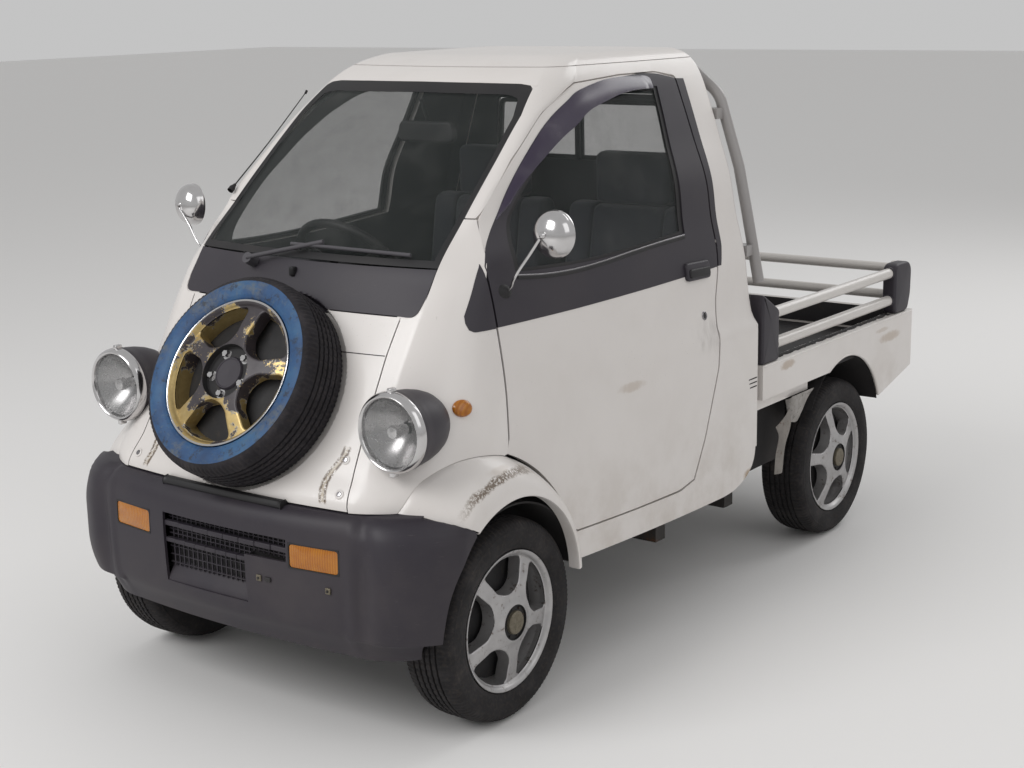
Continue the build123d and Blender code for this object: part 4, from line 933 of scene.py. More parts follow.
def make_cab():
    """White skins of the cab: nose, cheeks, pillars, rear quarters, roof and rear wall."""
    gap = SEAM / 2
    # Nose between its side seams, dished for the spare wheel
    rows = 120
    low = CAB.edge("x", ((0, 608), (388 - gap, 608)), 110)
    high = CAB.edge("x", ((0, 1037), (362 - gap, 1037)), 110)
    middle = np.linspace((0, 608), (0, 1037), rows)
    side = CAB.edge("x", [(x - gap, max(608, min(z, 1037))) for x, z in NOSE_SIDE], rows)
    nose = dished(CAB.lift(coons(low, high, middle, side)))
    build("nose_skin", [sheet(nose)], "paint", "body", ["nose_panel"], "paint", True, SKIN_WALL)

    # Cowl: a black panel with rounded lower corners under the windscreen
    cols = 110
    low = CAB.even(np.concatenate([CAB.line("x", ((0, 1040), (350, 1040))), CAB.line("x", rounded(
        ((350, 1040), (404, 1038), (411, 1086)), 40, False))]), cols)
    high = CAB.edge("x", ((0, 1147), (411, 1147)), cols)
    rows = 34
    middle = np.linspace((0, 1040), (0, 1147), rows)
    side = CAB.edge("x", ((411, 1086), (411, 1147)), rows)
    cowl = dished(CAB.lift(coons(low, high, middle, side), 0.5))
    build("cowl_skin", [sheet(cowl)], "matt_black", "body", ["cowl_panel"], "frame_black", True, SKIN_WALL)
    backing = CAB.lift(CAB.patch("x", (
        ((350, 1030), (413, 1030)), ((350, 1090), (412, 1090)),
        ((350, 1030), (350, 1090)), ((413, 1030), (412, 1090)),
    ), 8, 8), -2)
    build("cowl_corners", [sheet(backing)], "paint", "body", slot="paint", both=True)

    # Cheek from the nose seam round to the door
    rear_angle = arch_angle(0, 681, 40, 85)
    front_angle = arch_angle(0, 606, 100, 150)
    first = CAB.even(np.concatenate([
        CAB.line("x", [(x + gap, z) for x, z in NOSE_SIDE]),
        CAB.line("x", ((364, 1036.5), (392, 1036), (404, 1042), (411, 1056), (414, 1086), (412, 1150), (404, 1258))),
    ]), 60)
    last = CAB.edge("y", ((-903, 683), (-903, 1118), (-850, 1258)), 60)
    start = CAB.place([("x", 388 + gap, 606)])[0]
    turn = CAB.place([("y", arch(0, front_angle, front_angle, 1)[0][0], 606)])[0]
    low = CAB.even(np.concatenate([
        np.linspace(start, turn, 20),
        CAB.line("y", arch(0, front_angle, rear_angle, 60)),
    ]), 48)
    low[-1], first[0] = last[0], low[0]
    high = np.linspace((first[-1, 0], 1258), (last[-1, 0], 1258), 48)
    cheek = CAB.lift(coons(low, high, first, last))
    # Black tip of the window band, ahead of the door
    tip = CAB.lift(CAB.patch("y", (
        ((-984, 1006), (-972, 999), (-902, 999)), ((-985, 1040), (-934, 1116), (-902, 1156)),
        ((-984, 1006), (-988, 1022), (-985, 1040)), ((-902, 999), (-902, 1156)),
    ), 14, 14), 1.0)
    build("cheek_skins", [sheet(cheek)], "paint", "body", slot="paint", both=True, thick=SKIN_WALL)
    tip = np.concatenate([tip, tip[:, -1:] - (14, 0, 0)], 1)
    build("band_tips", [sheet(tip)], "matt_black", "body", slot="frame_black", both=True, thick=1.5)

    # Sill, rear quarter and the strip round the rear corner
    quarter_front = [(-106, 428)] + [(y + 2 * SEAM, z) for y, z in DOOR["rear"][1:]]
    sill = CAB.patch("y", (
        ((-658, 336), (-100, 336)), ((-671, 413), (-400, 411), (-180, 411), (-106, 428)),
        ((-658, 336), (-671, 413)), ((-100, 336), (-106, 428)),
    ), 40, 8)
    up = 70
    first = CAB.even(np.concatenate([CAB.line("y", ((-100, 336), (-106, 428))), CAB.line("y", quarter_front)]), up)
    back = CAB.line("y", REAR_CURVE)
    last = CAB.even(np.concatenate([back, np.linspace((SIDE_END, 452), (SIDE_END, 1560), 60)]), up)
    low = CAB.edge("y", ((-100, 336), REAR_CURVE[0]), 24)
    high = np.linspace((first[-1, 0], 1560), (SIDE_END, 1560), 24)
    quarter = coons(low, high, first, last)
    z = np.linspace(448, 1560, 60)
    wall_x = np.interp(z, [p[1] for p in REAR_WALL_SIDE], [p[0] for p in REAR_WALL_SIDE])
    turn = [np.interp(-(w + gap), -line[CAB.last_side:, 0], np.arange(CAB.last_side, len(line)))
            for w, line in zip(wall_x, CAB.outline(z))]
    corner = np.linspace(joined(SIDE_END, z), joined(turn, z), 14, axis=1)
    # Pillar beside the windscreen
    first = CAB.edge("x", ((404.5, 1261), (396, 1394), (386, 1497), (366, 1560), (352, 1568)), 40)
    last = CAB.edge("y", ((-850, 1261), (-686, 1396), (-531, 1500), (-400, 1556)), 40)
    pillar = coons(np.linspace(first[0], last[0], 12), np.linspace(first[-1], last[-1], 12), first, last)
    # Header over the screen and doors, up to the roof's seam
    total = CAB.outline(1600).shape[1] - 1
    marks = CAB.place([
        ("s", 0, 1575), ("x", 200, 1574), ("x", 320, 1572), ("x", 352, 1568), ("y", -400, 1556),
        ("y", -358, 1569.5), ("y", -150, 1582), ("y", 20, 1582), ("y", 108, 1567), ("y", 114, 1560),
        ("s", SIDE_END, 1560), ("s", 147, 1560), ("s", 149, 1500), ("s", total, 1500),
    ])
    s = np.linspace(0, total, 220)
    low_z = read(s, marks)
    header = np.linspace(joined(s, low_z), joined(s, 1611), 8)
    band = CAB.lift(CAB.patch("y", (
        ((90, 1022), (107, 1022)), ((113.5, 1557), (152, 1555)), ((90, 1022), (103, 1080), (113.5, 1557)),
        ((107, 1022), (129, 1080), (152, 1555)),
    ), 4, 40), 1.0)
    band = np.concatenate([band[:, :1] - (9, 0, 0), band], 1)
    skins = [sheet(CAB.lift(g)) for g in (sill, quarter, corner, pillar, header)]
    build("cab_skin", skins, "paint", "body", ["cab_frame"], "paint", True, CAB_WALL, "cabin")
    build("band_rears", [sheet(band)], "matt_black", "body", slot="frame_black", both=True, thick=1.5)

    # Roof: levels from its seam up, closed by a shallow crown
    ring = CAB.lift(joined(np.arange(total + 1.0)[None], np.linspace(1613, 1640, 8)[:, None]))
    share = np.linspace(1, 0, 14)[1:, None]
    heart = np.array((0.0, -40.0))
    crown = np.concatenate([
        heart + (ring[-1:, :, :2] - heart) * share[..., None],
        np.broadcast_to((1640 + 9.5 * (1 - share ** 2.2))[..., None], (13, total + 1, 1)),
    ], -1)
    crown[..., 0][:, [0, -1]] = 0.0
    build("roof_skin", [sheet(np.concatenate([ring, crown]))], "paint", "body", ["roof_panel"], "paint",
          True, SKIN_WALL, "cabin")

    # Rear wall round its window, and the cut-away lower corner
    def wall_loop(*sides):
        low, rear, high = (along(side, n) for side, n in zip(sides, (24, 40, 24)))
        return np.concatenate([low[:-1], rear[:-1], high])

    outer = wall_loop(((0, 560), (540, 560)), ((540, 560), (540, 1040), (400, 1498)), ((400, 1498), (0, 1498)))
    window_side = rounded(((322, 1290), (330, 1290), (318, 1474), (310, 1478)), 14, False)
    inner = wall_loop(((0, 1290), (322, 1290)), window_side, ((310, 1478), (0, 1478)))
    grid = between(inner, outer, 16)
    y = CAB.outline(grid[..., 1].ravel())[:, -1, 1].reshape(grid.shape[:2])
    rib = 4.0 * np.exp(-((grid[..., 1] - 1120) / 16) ** 2) + 4.0 * np.exp(-((grid[..., 1] - 900) / 16) ** 2)
    wall = joined(grid[..., 0], y - rib, grid[..., 1])
    build("rear_wall", [sheet(wall)], "paint", "body", ["rear_panel"], "paint", True, 10.0, "cabin")
    slope = np.array(((60, 336), *REAR_CURVE[1:], (268, 470)), float)
    x = np.linspace(0, 616, 12)
    under = joined(x[None], slope[:, :1], slope[:, 1:])
    trim("corner_panel", [sheet(under)], "guard", both=True, thick=SKIN_WALL)


def make_doors():
    """Doors as one shell round the window, with the black band, the glass and its seal."""
    counts = (46, 30, 40, 46)
    hole, edge = side_loop(WINDOW, counts), side_loop(DOOR, counts)
    centre = hole.mean(0)
    rows = between(centre + (hole - centre) * (1.03, 1.04), edge, 26)
    deep = np.zeros(len(rows))
    deep[:3] = -2.5, -2.5, -1.0
    # Out over the face, round the edge, back along the inner face and home: one closed shell
    shell = np.concatenate([rows, rows[::-1], rows[:1]])
    deep = np.concatenate([deep, np.full(len(rows), -DOOR_WALL), deep[:1]])
    side = np.zeros(len(shell) - 1, int)
    side[len(rows):-1] = 1
    skin = sheet(CAB.lift(shell, np.repeat(deep, len(hole))), side, wrap=True)
    rows = between(hole, side_loop(BAND, counts), 7)
    rows = np.concatenate([hole[None], rows, rows[-1:] + (rows[-1:] - rows[-2:-1]) * 0.03])
    band = sheet(CAB.lift(rows, np.repeat((-14.0, 1.2, 1.2, 1.2, 1.2, 1.2, 1.2, 1.0, -16.0), len(hole))), wrap=True)
    seal = sheet(CAB.lift(between(hole, centre + (hole - centre) * (0.95, 0.96), 3), -2.5), wrap=True)
    pane = CAB.patch("y", WINDOW.values(), 40, 30)
    glass = sheet(CAB.lift(centre + (pane - centre) * 0.992, -5.0))
    for side, turn in SIDES:
        body = f"door_{side}"
        build(f"door_skin_{side}", [turn(skin)], "paint cabin", body, [f"door_{side}"], "paint")
        build(f"door_band_{side}", [turn(band)], "matt_black", body, slot="frame_black", thick=1.6)
        build(f"door_seal_{side}", [turn(seal)], "trim", body, slot="dark_plastic", thick=8.0)
        build(f"door_pane_{side}", [turn(glass)], "glass", body, [f"door_glass_{side}"], "glass", thick=4.0)


def make_glass():
    """Windscreen with its dark border, and the rear window with its divider."""
    rows, cols = 40, 40
    side = CAB.edge("x", SCREEN_SIDE, rows)
    low = CAB.edge("x", ((0, 1152), (411, 1150)), cols)
    high = CAB.edge("x", SCREEN_TOP, cols)
    middle = np.linspace((0, 1152), (0, 1575), rows)
    grid = coons(low, high, middle, side)
    build("screen_glass", [sheet(CAB.lift(grid, -1.0))], "glass", "body", ["windscreen"], "glass", True, 5.0)
    edge = np.concatenate([low, side[1:], high[::-1][1:]])
    inner_low = CAB.edge("x", ((0, 1168), (392, 1166)), cols)
    inner_side = CAB.edge("x", ((392, 1166), (387, 1264), (379, 1394), (367, 1492), (345, 1536)), rows)
    inner_high = CAB.edge("x", ((0, 1549), (300, 1546), (328, 1542), (345, 1536)), cols)
    inner = np.concatenate([inner_low, inner_side[1:], inner_high[::-1][1:]])
    border = CAB.lift(between(inner, edge, 5), -0.2)
    trim("screen_border", [sheet(border)], both=True, thick=1.0)
    x = np.linspace(0, 324, 14)
    z = np.linspace(1292, 1476, 10)
    pane = joined(x[None], 262.0, z[:, None])
    build("rear_pane", [sheet(pane, away=(0, 0, 1380))], "glass", "body", ["rear_window"], "glass", True, 4.0)
    frame_loop = rounded(((-328, 1290), (328, 1290), (316, 1478), (-316, 1478)), 26)
    inner = drawn_in(frame_loop, 14)
    ring = [joined(loop[:, 0], y, loop[:, 1])
            for loop, y in ((frame_loop, 262), (frame_loop, 273), (inner, 273), (inner, 262), (frame_loop, 262))]
    bars = [sheet(ring, wrap=True, shut=True), block((-9, 258, 1288), (9, 272, 1478), 3),
            block((-9, 240, 1288), (9, 250, 1478), 3)]
    trim("rear_window_frame", bars)


# ---------------------------------------------------------------- flares and bumper

LIP_X, LIP_Y, LIP_Z, LIP_R = 644.0, -982.0, 327.0, 270.0
# Height and Y of the line where the flare meets the bumper
SPLIT = ((236, -1130), (552, -1137), (581, -1196), (598, -1235), (612, -1283))


def flare_grid():
    """Bowl over the front wheel: rings from the body's seam out to the lip and back inside.

    Every point goes straight from the seam's curve to the lip's circle in side view, while its distance from the
    middle rises as one less a power of the share still to go. Each ring ends at the bumper and at the sill's height.
    """
    start, end, count = -2, 150, 460
    angle = np.linspace(start, end, count)
    t = np.radians(angle)
    seam = np.array(arch(-1.5, start, end, count))
    seam_x = CAB.lift(CAB.place([("y", y, max(z, SILL_Z)) for y, z in seam]))[:, 0]
    lip = joined(LIP_Y + LIP_R * np.cos(t), LIP_Z + LIP_R * np.sin(t))
    share = np.concatenate([[0, 0], np.linspace(0, 1, 26) ** 0.85, [1.01, 1.025, 1.025, 1.01]])
    depth = np.concatenate([[-26, -5], np.zeros(26), [-1, -5, -16, -34]])
    rows = []
    for w, d in zip(share, depth):
        flat = seam + (lip - seam) * w
        x = seam_x + (LIP_X - seam_x) * (1 - (1 - min(w, 1.0)) ** 2.2) + d
        split = read(flat[:, 1], SPLIT)
        span = np.where((flat[:, 1] > SILL_Z + 2) & ((flat[:, 0] > split + 1) | (angle < 70)))[0]
        pick = np.linspace(angle[span[0]], angle[span[-1]], 90)
        rows.append(joined(*(np.interp(pick, angle, v) for v in (x, flat[:, 0], flat[:, 1]))))
    return rows


def make_flares():
    """White flares over the front wheels."""
    part = sheet(flare_grid(), away=(500, -1000, 250))
    build("flare_skins", [part], "paint", "body", ["front_fenders"], "paint", True, 4.0, "guard")


# Openings in the bumper as least and greatest x, and least and greatest z
INTAKES = ((-190, 238, 472, 530), (-190, 105, 345, 472))
LAMP_WINDOW = (245, 394, 459, 524)


def bumper_place(x, z):
    """Places on the bumper at points of x and z."""
    return BUMPER.place([("x", a, b) for a, b in zip(np.abs(x), z)])


def make_bumper():
    """Dark bumper: a face with the intake and lamp openings, and pods round to the wheel arches."""

    def steps(marks, pitch):
        runs = [np.linspace(a, b, max(1, round((b - a) / pitch)) + 1)[:-1] for a, b in zip(marks, marks[1:])]
        return np.concatenate(runs + [marks[-1:]])

    xs = steps([-398, -394, -322, -245, -190, 0, 105, 238, 245, 322, 394, 398], 14)
    zs = steps([238, 262, 290, 298, 345, 400, 459, 472, 480, 524, 530, 556, 588, 602], 11)
    gx, gz = np.meshgrid(xs, zs)
    p = BUMPER.lift(bumper_place(gx.ravel(), gz.ravel())).reshape(gx.shape + (3,))
    p[..., 0] *= np.sign(gx)
    p[..., 1] += 5.0 * np.exp(-(((gz - 300) / 7.0) ** 2)) * (np.abs(gx) < 397)

    def solid(mid):
        z = mid[:, 2]
        holes = [(mid[:, 0], hole) for hole in INTAKES] + [(np.abs(mid[:, 0]), LAMP_WINDOW)]
        return ~np.any([(x > x0) & (x < x1) & (z > z0) & (z < z1) for x, (x0, x1, z0, z1) in holes], axis=0)

    away = (0, -1150, 450)
    face = sheet(p, away=away, keep=solid)
    # Pod from the face's edge round to the arch's lip or the flare
    z = zs
    split = read(z, SPLIT)
    drop = np.clip(LIP_R ** 2 - (z - LIP_Z) ** 2, 0, None)
    lip = np.where(drop > 0, LIP_Y - np.sqrt(drop), 0)
    end_y = np.minimum(split, np.where(z < 598, lip, split))
    end = BUMPER.place([("y", a, b) for a, b in zip(end_y, z)])[:, 0]
    start = bumper_place(np.full(len(z), 398.0), z)[:, 0]
    share = np.linspace(0, 1, 34)[None]
    s = start[:, None] + (end - start)[:, None] * share
    pod = BUMPER.lift(joined(s, z[:, None]))
    crease = 15.0 * np.exp(-(((s - 34.0) / 2.8) ** 2)) * np.clip((z[:, None] - 250) / 120, 0, 1)
    crease = crease * np.clip(share * 6, 0, 1)
    pod[..., 1] += crease
    pod[..., 0] -= crease * 0.4
    lipped = np.concatenate([pod, pod[:, -1:] + (-16, 3, 0), pod[:, -1:] + (-34, 6, 0)], 1)
    pods = sheet(lipped, away=away)
    top = np.concatenate([p[-1:, xs >= 0][0], pod[-1, 1:]])
    inward = top * (0.97, 1, 1) + (0, 46, 4)
    inward[:, 1] = np.minimum(inward[:, 1], -1186)
    ledge = sheet(between(top, inward, 5), away=(0, -1300, 300))
    build("bumper_skin", [face, pods, mirrored(pods), ledge, mirrored(ledge)], "bumper", "body",
          ["front_bumper"], "dark_plastic", thick=8.0, sharp=42)
    # Intake: two broad bars, faint ribs, a back and a scoop along its lower edge
    bars = []
    for level, x1, tall in ((500, 238, 7), (455, 106, 6)):
        cuts = np.linspace(-191, x1, 9)
        bars += [block((a, -1386 + 0.00012 * (a + b) ** 2 / 4, level - tall), (b, -1368, level + tall), 3)
                 for a, b in zip(cuts, cuts[1:] + 0.5)]
    for x in np.arange(-176, 236, 17.0):
        bars.append(block((x, -1368, 384 if x < 100 else 474), (x + 4, -1363, 528), 1.2))
    for level in (512, 521, 468, 480, 491, 433, 411, 390):
        bars.append(block((-190, -1368, level), (104 if level < 470 else 237, -1363, level + 3), 1))
    across = np.linspace(-188, 103, 40)
    curve = -1382 + 0.00010 * across ** 2
    scoop = [joined(across, curve + back, z0) for back, z0 in (
        (24, 392), (20, 384), (13, 374), (5, 362), (-1, 351), (-2, 345), (3, 341))]
    bars.append(sheet(scoop, away=(0, -1200, 350)))
    trim("intake_slats", bars, "bumper")
    trim("intake_back", [block((-200, -1356, 335), (246, -1350, 540), 2)])
    # Strip along the bumper's top edge
    pad = np.array([(x, -1352 + 0.0001 * x * x) for x in np.linspace(-208, 208, 30)])
    loop = np.array(((-13, 596), (-15, 604), (-10, 614), (4, 616), (10, 608), (10, 598)))
    grid = [joined(x, y + loop[:, 0], loop[:, 1]) for x, y in pad]
    sides = len(loop)
    strip = capped(sheet(grid, wrap=True, shut=True), range(sides - 1, -1, -1), 0)
    strip = capped(strip, range((len(pad) - 1) * sides, len(pad) * sides), 0)
    trim("bumper_pad", [strip], bevel=1.5)
    # Indicators: ribbed amber lenses in thin frames that follow the face
    x0, x1, z0, z1 = LAMP_WINDOW

    def on_face(loop, out):
        return BUMPER.lift(bumper_place(loop[:, 0], loop[:, 1])) + (0, -out, 0)

    loop, outer = (
        rounded(((x0 + d, z0 + d), (x1 - d, z0 + d), (x1 - d, z1 - d), (x0 + d, z1 - d)), 9) for d in (3, -1)
    )
    heart = np.repeat(loop.mean(0)[None], len(loop), 0)
    lens = sheet([on_face(loop, -9), on_face(loop, -3)] + [
        on_face(loop + (heart - loop) * share, -1 + 2.6 * math.sin(share * math.pi / 2))
        for share in (0.02, 0.06, 0.14, 0.3, 0.5, 0.75, 1.0)], wrap=True, away=(320, -1250, 480))
    rim = sheet([on_face(outer, -8), on_face(outer, 0.6), on_face(loop, 0.6), on_face(loop, -8)],
                wrap=True, away=(320, -1250, 480))
    build("indicator_lenses", [lens], "amber", "body", ["front_indicators"], "amber", True)
    trim("indicator_rims", [rim], both=True)


# ---------------------------------------------------------------- lamps and trim

LAMP = np.array((480.0, -1262.0, 802.0))
DOOR_VISOR = (
    ((-800, 1250), (-753, 1302), (-673, 1372), (-607, 1421), (-548, 1460), (-482, 1495), (-417, 1522), (-366, 1544),
     (-307, 1557), (-231, 1570), (-173, 1574), (-17, 1572)),
    ((-786, 1256), (-724, 1311), (-653, 1355), (-579, 1395), (-487, 1439), (-425, 1463), (-357, 1495), (-280, 1514),
     (-188, 1532), (-112, 1538), (-17, 1537)),
)
BELT = ((-797, 1117), (-709, 1108), (-590, 1104), (-459, 1109), (-318, 1119), (-166, 1127), (-63, 1130))
AERIAL = ((-431, -845, 1288), (-426, -690, 1408), (-404, -552, 1540))


def skin_frame(kind, value, z):
    """A point on the cab's skin, and the outward direction there."""
    place = CAB.place([(kind, value, z)])
    foot, above, beside = CAB.lift(place)[0], CAB.lift(place + (0, 4))[0], CAB.lift(place + (0.4, 0))[0]
    n = np.cross(beside - foot, above - foot)
    return foot, n / np.linalg.norm(n)


def on_skin(profile, kind, value, z, finish=0, sides=32):
    """Round part standing on the cab's skin, from a profile of (height above it, radius)."""
    foot, n = skin_frame(kind, value, z)
    return turned(profile, foot, n, finish, sides)


def make_lamps():
    """Round headlamps: dark shell, bright ring, fluted lens, reflector and bulb; and side markers."""
    back = (0, 1, 0)
    shell = turned(((4, 96), (9, 99), (30, 99), (34, 96), (56, 95), (80, 92), (106, 86), (130, 77), (150, 64),
                    (168, 46), (180, 20), (182, 0.1)), LAMP, back, 0, 96)
    build("lamp_shells", [shell], "matt_black", "body", ["headlamp_shells"], "dark_plastic", True)
    ring = turned(((8, 83), (1, 84), (-5, 86), (-8, 89), (-8.5, 91), (-6, 94), (-1, 97.5), (5, 99.5), (14, 100.5),
                   (17, 100), (17, 97), (8, 83)), LAMP, back, 0, 128)
    lug = block((-7, -4, -8), (7, 18, 6), 3)
    build("lamp_rings", [ring, placed(lug, shift=LAMP + (0, 4, -101)), placed(lug, shift=LAMP + (0, 6, 103))],
          "chrome", "body", slot="mirror", both=True)
    rows = [(-11 * (1 - (r / 86) ** 2) + 2, r) for r in np.linspace(86, 0.1, 60)]

    def ribs(x, r, t):
        """Upright ribs across the lens, and slanting ones below its middle."""
        across, up = r * np.sin(t), r * np.cos(t)
        inside = np.clip((80 - r) / 6, 0, 1)
        low = np.clip((-up - 6) / 8, 0, 1)
        wave = np.sin(across * 0.85) * 0.55 * (1 - low) + np.sin(across * 0.42 + up * 0.5) * 1.1 * low
        return inside * (wave + np.sin(up * 0.33) * 0.5), 0 * r

    lens = turned([(9, 84.5), (4, 86)] + rows, LAMP, back, 0, 240, wave=ribs, shut=False, away=(60, 0, 0))
    build("lamp_lenses", [lens], "lamp_glass", "body", ["headlamp_lenses"], "lens_clear", True)
    bowl = turned([(6 + 56 * (1 - (r / 84) ** 2), r) for r in np.linspace(84, 14, 24)], LAMP, back, 0, 72,
                  shut=False, away=(400, 0, 0))
    bulb = turned(((56, 13), (30, 13), (26, 17), (12, 17), (8, 14), (6, 0.1)), LAMP, back, 1, 32)
    build("lamp_bowls", [bowl, bulb], "reflector chrome", "body", slot="mirror", both=True)
    # Side markers on the cheeks
    foot, n = skin_frame("y", -1056, 828)
    dome = turned(((-3, 26), (4, 26), (8, 23), (11, 14), (12, 0.1)), axis=n, sides=48)
    build("side_markers", [placed(dome, np.diag((1, 1, 0.8)), foot)], "amber", "body", slot="amber", both=True)


def make_door_trim():
    """Visors, belt mouldings, handles, locks and mirrors, which ride on the doors."""
    count, rows = 70, 9
    outer, lower = (CAB.edge("y", flowing(line, 90), count) for line in DOOR_VISOR)
    lift = 2.0 + 17.0 * np.sin(np.linspace(0, math.pi / 2, rows)) ** 0.8
    steps = np.arange(count)
    closing = np.clip(np.minimum(steps, steps[::-1]) / 4.0, 0.12, 1)
    visor = sheet(CAB.lift(between(outer, lower, rows), (lift[:, None] * closing[None]).ravel()))
    line = flowing(BELT, 60)
    belt = tube(CAB.lift(CAB.edge("y", line, count), 3.0), 2.0, up=(1, 0, 0), sides=10, flat=0.7)
    lip = tube(CAB.lift(CAB.edge("y", line - (0, 6), count), 1.5), 5.5, up=(1, 0, 0), sides=10, flat=0.6)
    handle_loop = rounded(((-97, 1002), (30, 999), (32, 1049), (-95, 1053)), 13)
    dish_loop = rounded(((-88, 1010), (22, 1007), (24, 1032), (-86, 1035)), 9)
    foot = skin_frame("y", -35, 1028)[0]
    lean = np.array(((1, 0, -0.19), (0.02, 1, 0), (0, 0, 1)), float)
    centre = np.array((foot[0], -35.0, 1028.0))

    def leaning(part):
        return placed(placed(part, shift=-centre), lean, centre)

    plate = leaning(pillow(handle_loop, foot[0] - 6, foot[0] + 10, 5))
    grip = leaning(pillow(dish_loop, foot[0] + 6, foot[0] + 15, 3.5, 1))
    lock = on_skin(((-4, 13), (1.5, 13), (2.8, 11.5), (2.8, 9), (0.9, 8)), "y", -20, 894)
    pin = on_skin(((-2, 8.2), (1.0, 8.0), (1.6, 5), (1.6, 0.1)), "y", -20, 894, 1)
    # Mirror: rubber foot, bent stalk and a domed round head
    base = np.array((512.0, -846.0, 1079.0))
    head = np.array((640.0, -801.0, 1229.0))
    cone = turned(((-10, 30), (4, 30), (8, 28), (14, 17), (20, 13), (23, 9), (24, 0.1)), base - (4, 0, 0),
                  (1, 0.1, 0.15), 0, 32)
    for (side, turn), look in zip(SIDES, ((-0.12, -1.0, 0.05), (0.25, -0.97, 0.05))):
        look = np.array(look) / np.linalg.norm(look)
        front = head + look * 44
        stalk = tube(flowing((base + (12, 0, 4), base + (26, -2, 16), base + (40, -10, 36), front + (-34, -2, -44),
                              front + (-6, -3, -8)), 26), 3.8, 1, 12, up=(0, 0, 1))
        knob = turned(((-9, 7), (-4, 9), (3, 9), (8, 6), (9, 0.1)), front, look, 1, 24)
        crown = [(44 * math.sin(a) ** 0.9, 59 * math.cos(a)) for a in np.linspace(0.02, math.pi / 2 - 0.002, 22)]
        edge = [(-12, 50), (-12.5, 56), (-10, 59.5), (-7, 60), (-4, 59.8), (-1, 59)]
        dome = turned(edge + crown, head, look, 1, 72)
        glass = turned(((-11.4, 56), (-10.6, 40), (-10.2, 0.1)), head, look, 2, 48, shut=False, away=(100, 0, 0))
        body = f"door_{side}"
        build(f"visor_{side}", [turn(visor)], "visor", body, slot="glass", thick=2.0)
        build(f"belt_strip_{side}", [turn(belt)], "dull_chrome", body, slot="mirror")
        build(f"belt_seal_{side}", [turn(lip)], "trim", body, slot="dark_plastic")
        build(f"handle_{side}", [turn(plate), turn(grip)], "matt_black trim", body, slot="dark_plastic")
        build(f"lock_{side}", [turn(lock), turn(pin)], "dull_chrome trim", body, slot="mirror")
        build(f"mirror_head_{side}", [turn(p) for p in (cone, stalk, dome, glass, knob)], "trim chrome mirror", body,
              [f"mirror_{side}"], "mirror")


def make_front_trim():
    """Wiper, washer nozzle, aerial, vents in the rear quarters, and bolts of the nose and the bumper."""
    hub_at, hub_n = skin_frame("x", 285, 1129)
    hub = turned(((-6, 21), (6, 21), (12, 18), (20, 15), (27, 14), (31, 10), (32, 0.1)), hub_at, hub_n, 0, 32)

    def over_screen(points, out):
        """Points standing off the screen by an amount, from x and z."""
        p = CAB.lift(CAB.place([("x", abs(x), z) for x, z in points]), out)
        p[:, 0] = np.copysign(p[:, 0], points[:, 0])
        return p

    arm = over_screen(flowing(((-285, 1129), (-173, 1164), (-56, 1199), (70, 1228), (178, 1222)), 40), 24)
    blade_path = over_screen(flowing(((-37, 1184), (80, 1203), (178, 1211), (290, 1213), (388, 1209)), 48), 5)
    bridge = over_screen(flowing(((40, 1203), (110, 1214), (178, 1218), (250, 1218), (320, 1214)), 30), 15)
    parts = [mirrored(hub), tube(arm, np.linspace(8.5, 4.5, 40), up=(0, -0.6, 0.8), sides=12, flat=0.6)]
    parts.append(tube(blade_path, 5.0, up=(0, -1, 1), sides=8, flat=1.2))
    parts.append(tube(blade_path + (0, -4, 4), 2.6, up=(0, -1, 1), sides=8, flat=0.8))
    parts.append(tube(bridge, 3.4, up=(0, -1, 1), sides=8))
    for k in (6, 18, 30, 42):
        parts.append(block(blade_path[k] - (8, 8, 4), blade_path[k] + (8, 3, 9), 3))
    nozzle = block((-19, -1060, 1108), (-3, -1042, 1132), 4)
    trim("washer_nozzle", [nozzle])
    rod_line = flowing(AERIAL, 30)
    aerial = [tube(rod_line, np.linspace(2.0, 1.4, 30), 0, 8, up=(0, -1, 0)),
              turned(((-6, 9), (6, 9), (12, 6), (20, 4), (20, 0.1)), AERIAL[0],
                     np.subtract(AERIAL[1], AERIAL[0]), 0, 16),
              turned(((-5, 3.6), (5, 3.6)), AERIAL[-1], (0, 0.6, 0.8), 0, 12)]
    trim("aerial", aerial)
    slots = [block((636, 200 + 4 * k, 662 - 13 * k), (642, 250, 665.5 - 13 * k), 1.5) for k in range(3)]
    trim("quarter_vents", slots, "guard", both=True)
    bolts = []
    for x, z in ((355, 644), (337, 716)):
        bolts.append(on_skin(((-2, 12), (1.5, 12), (2.6, 10.5), (2.6, 7)), "x", x, z, 0, 24))
        bolts.append(on_skin(((1.0, 7.2), (3.6, 6), (4.0, 3), (4.0, 0.1)), "x", x, z, 1, 8))
    build("nose_bolts", bolts, "paint dull_chrome", "body", slot="steel", both=True)
    seam = tube(CAB.lift(CAB.edge("x", ((222, 948), (353, 949)), 30), -0.6), 1.6, up=(0, -1, 0), sides=6)
    trim("nose_seams", [seam], both=True)
    plate_bolts = []
    for x, clip in ((150, 28), (360, -28)):
        p = BUMPER.lift(BUMPER.place([("x", x, 418)]))[0]
        plate_bolts.append(block(p - (8, 4, 8), p + (8, 1, 8), 2, 1))
        plate_bolts.append(turned(((-6, 0.1), (-6, 3.5), (0, 4)), p, (0, 1, 0), 0, 6))
        plate_bolts.append(block(p + (clip - 10, -2, -6), p + (clip + 10, 3, 6), 2, 0))
    build("plate_bolts", plate_bolts, "trim gold_cap", "body", slot="steel")


# ---------------------------------------------------------------- wheels

WINDOW_R0, WINDOW_R1 = 76.0, 166.0
SPOKES = 5
# Radius and height of the disc's face
DISC_X = np.array(((0, 86), (48, 85), (54, 82.5), (64, 78), (80, 74.5), (100, 71.5), (118, 68), (140, 63),
                   (158, 59), (166, 57.5)), float)
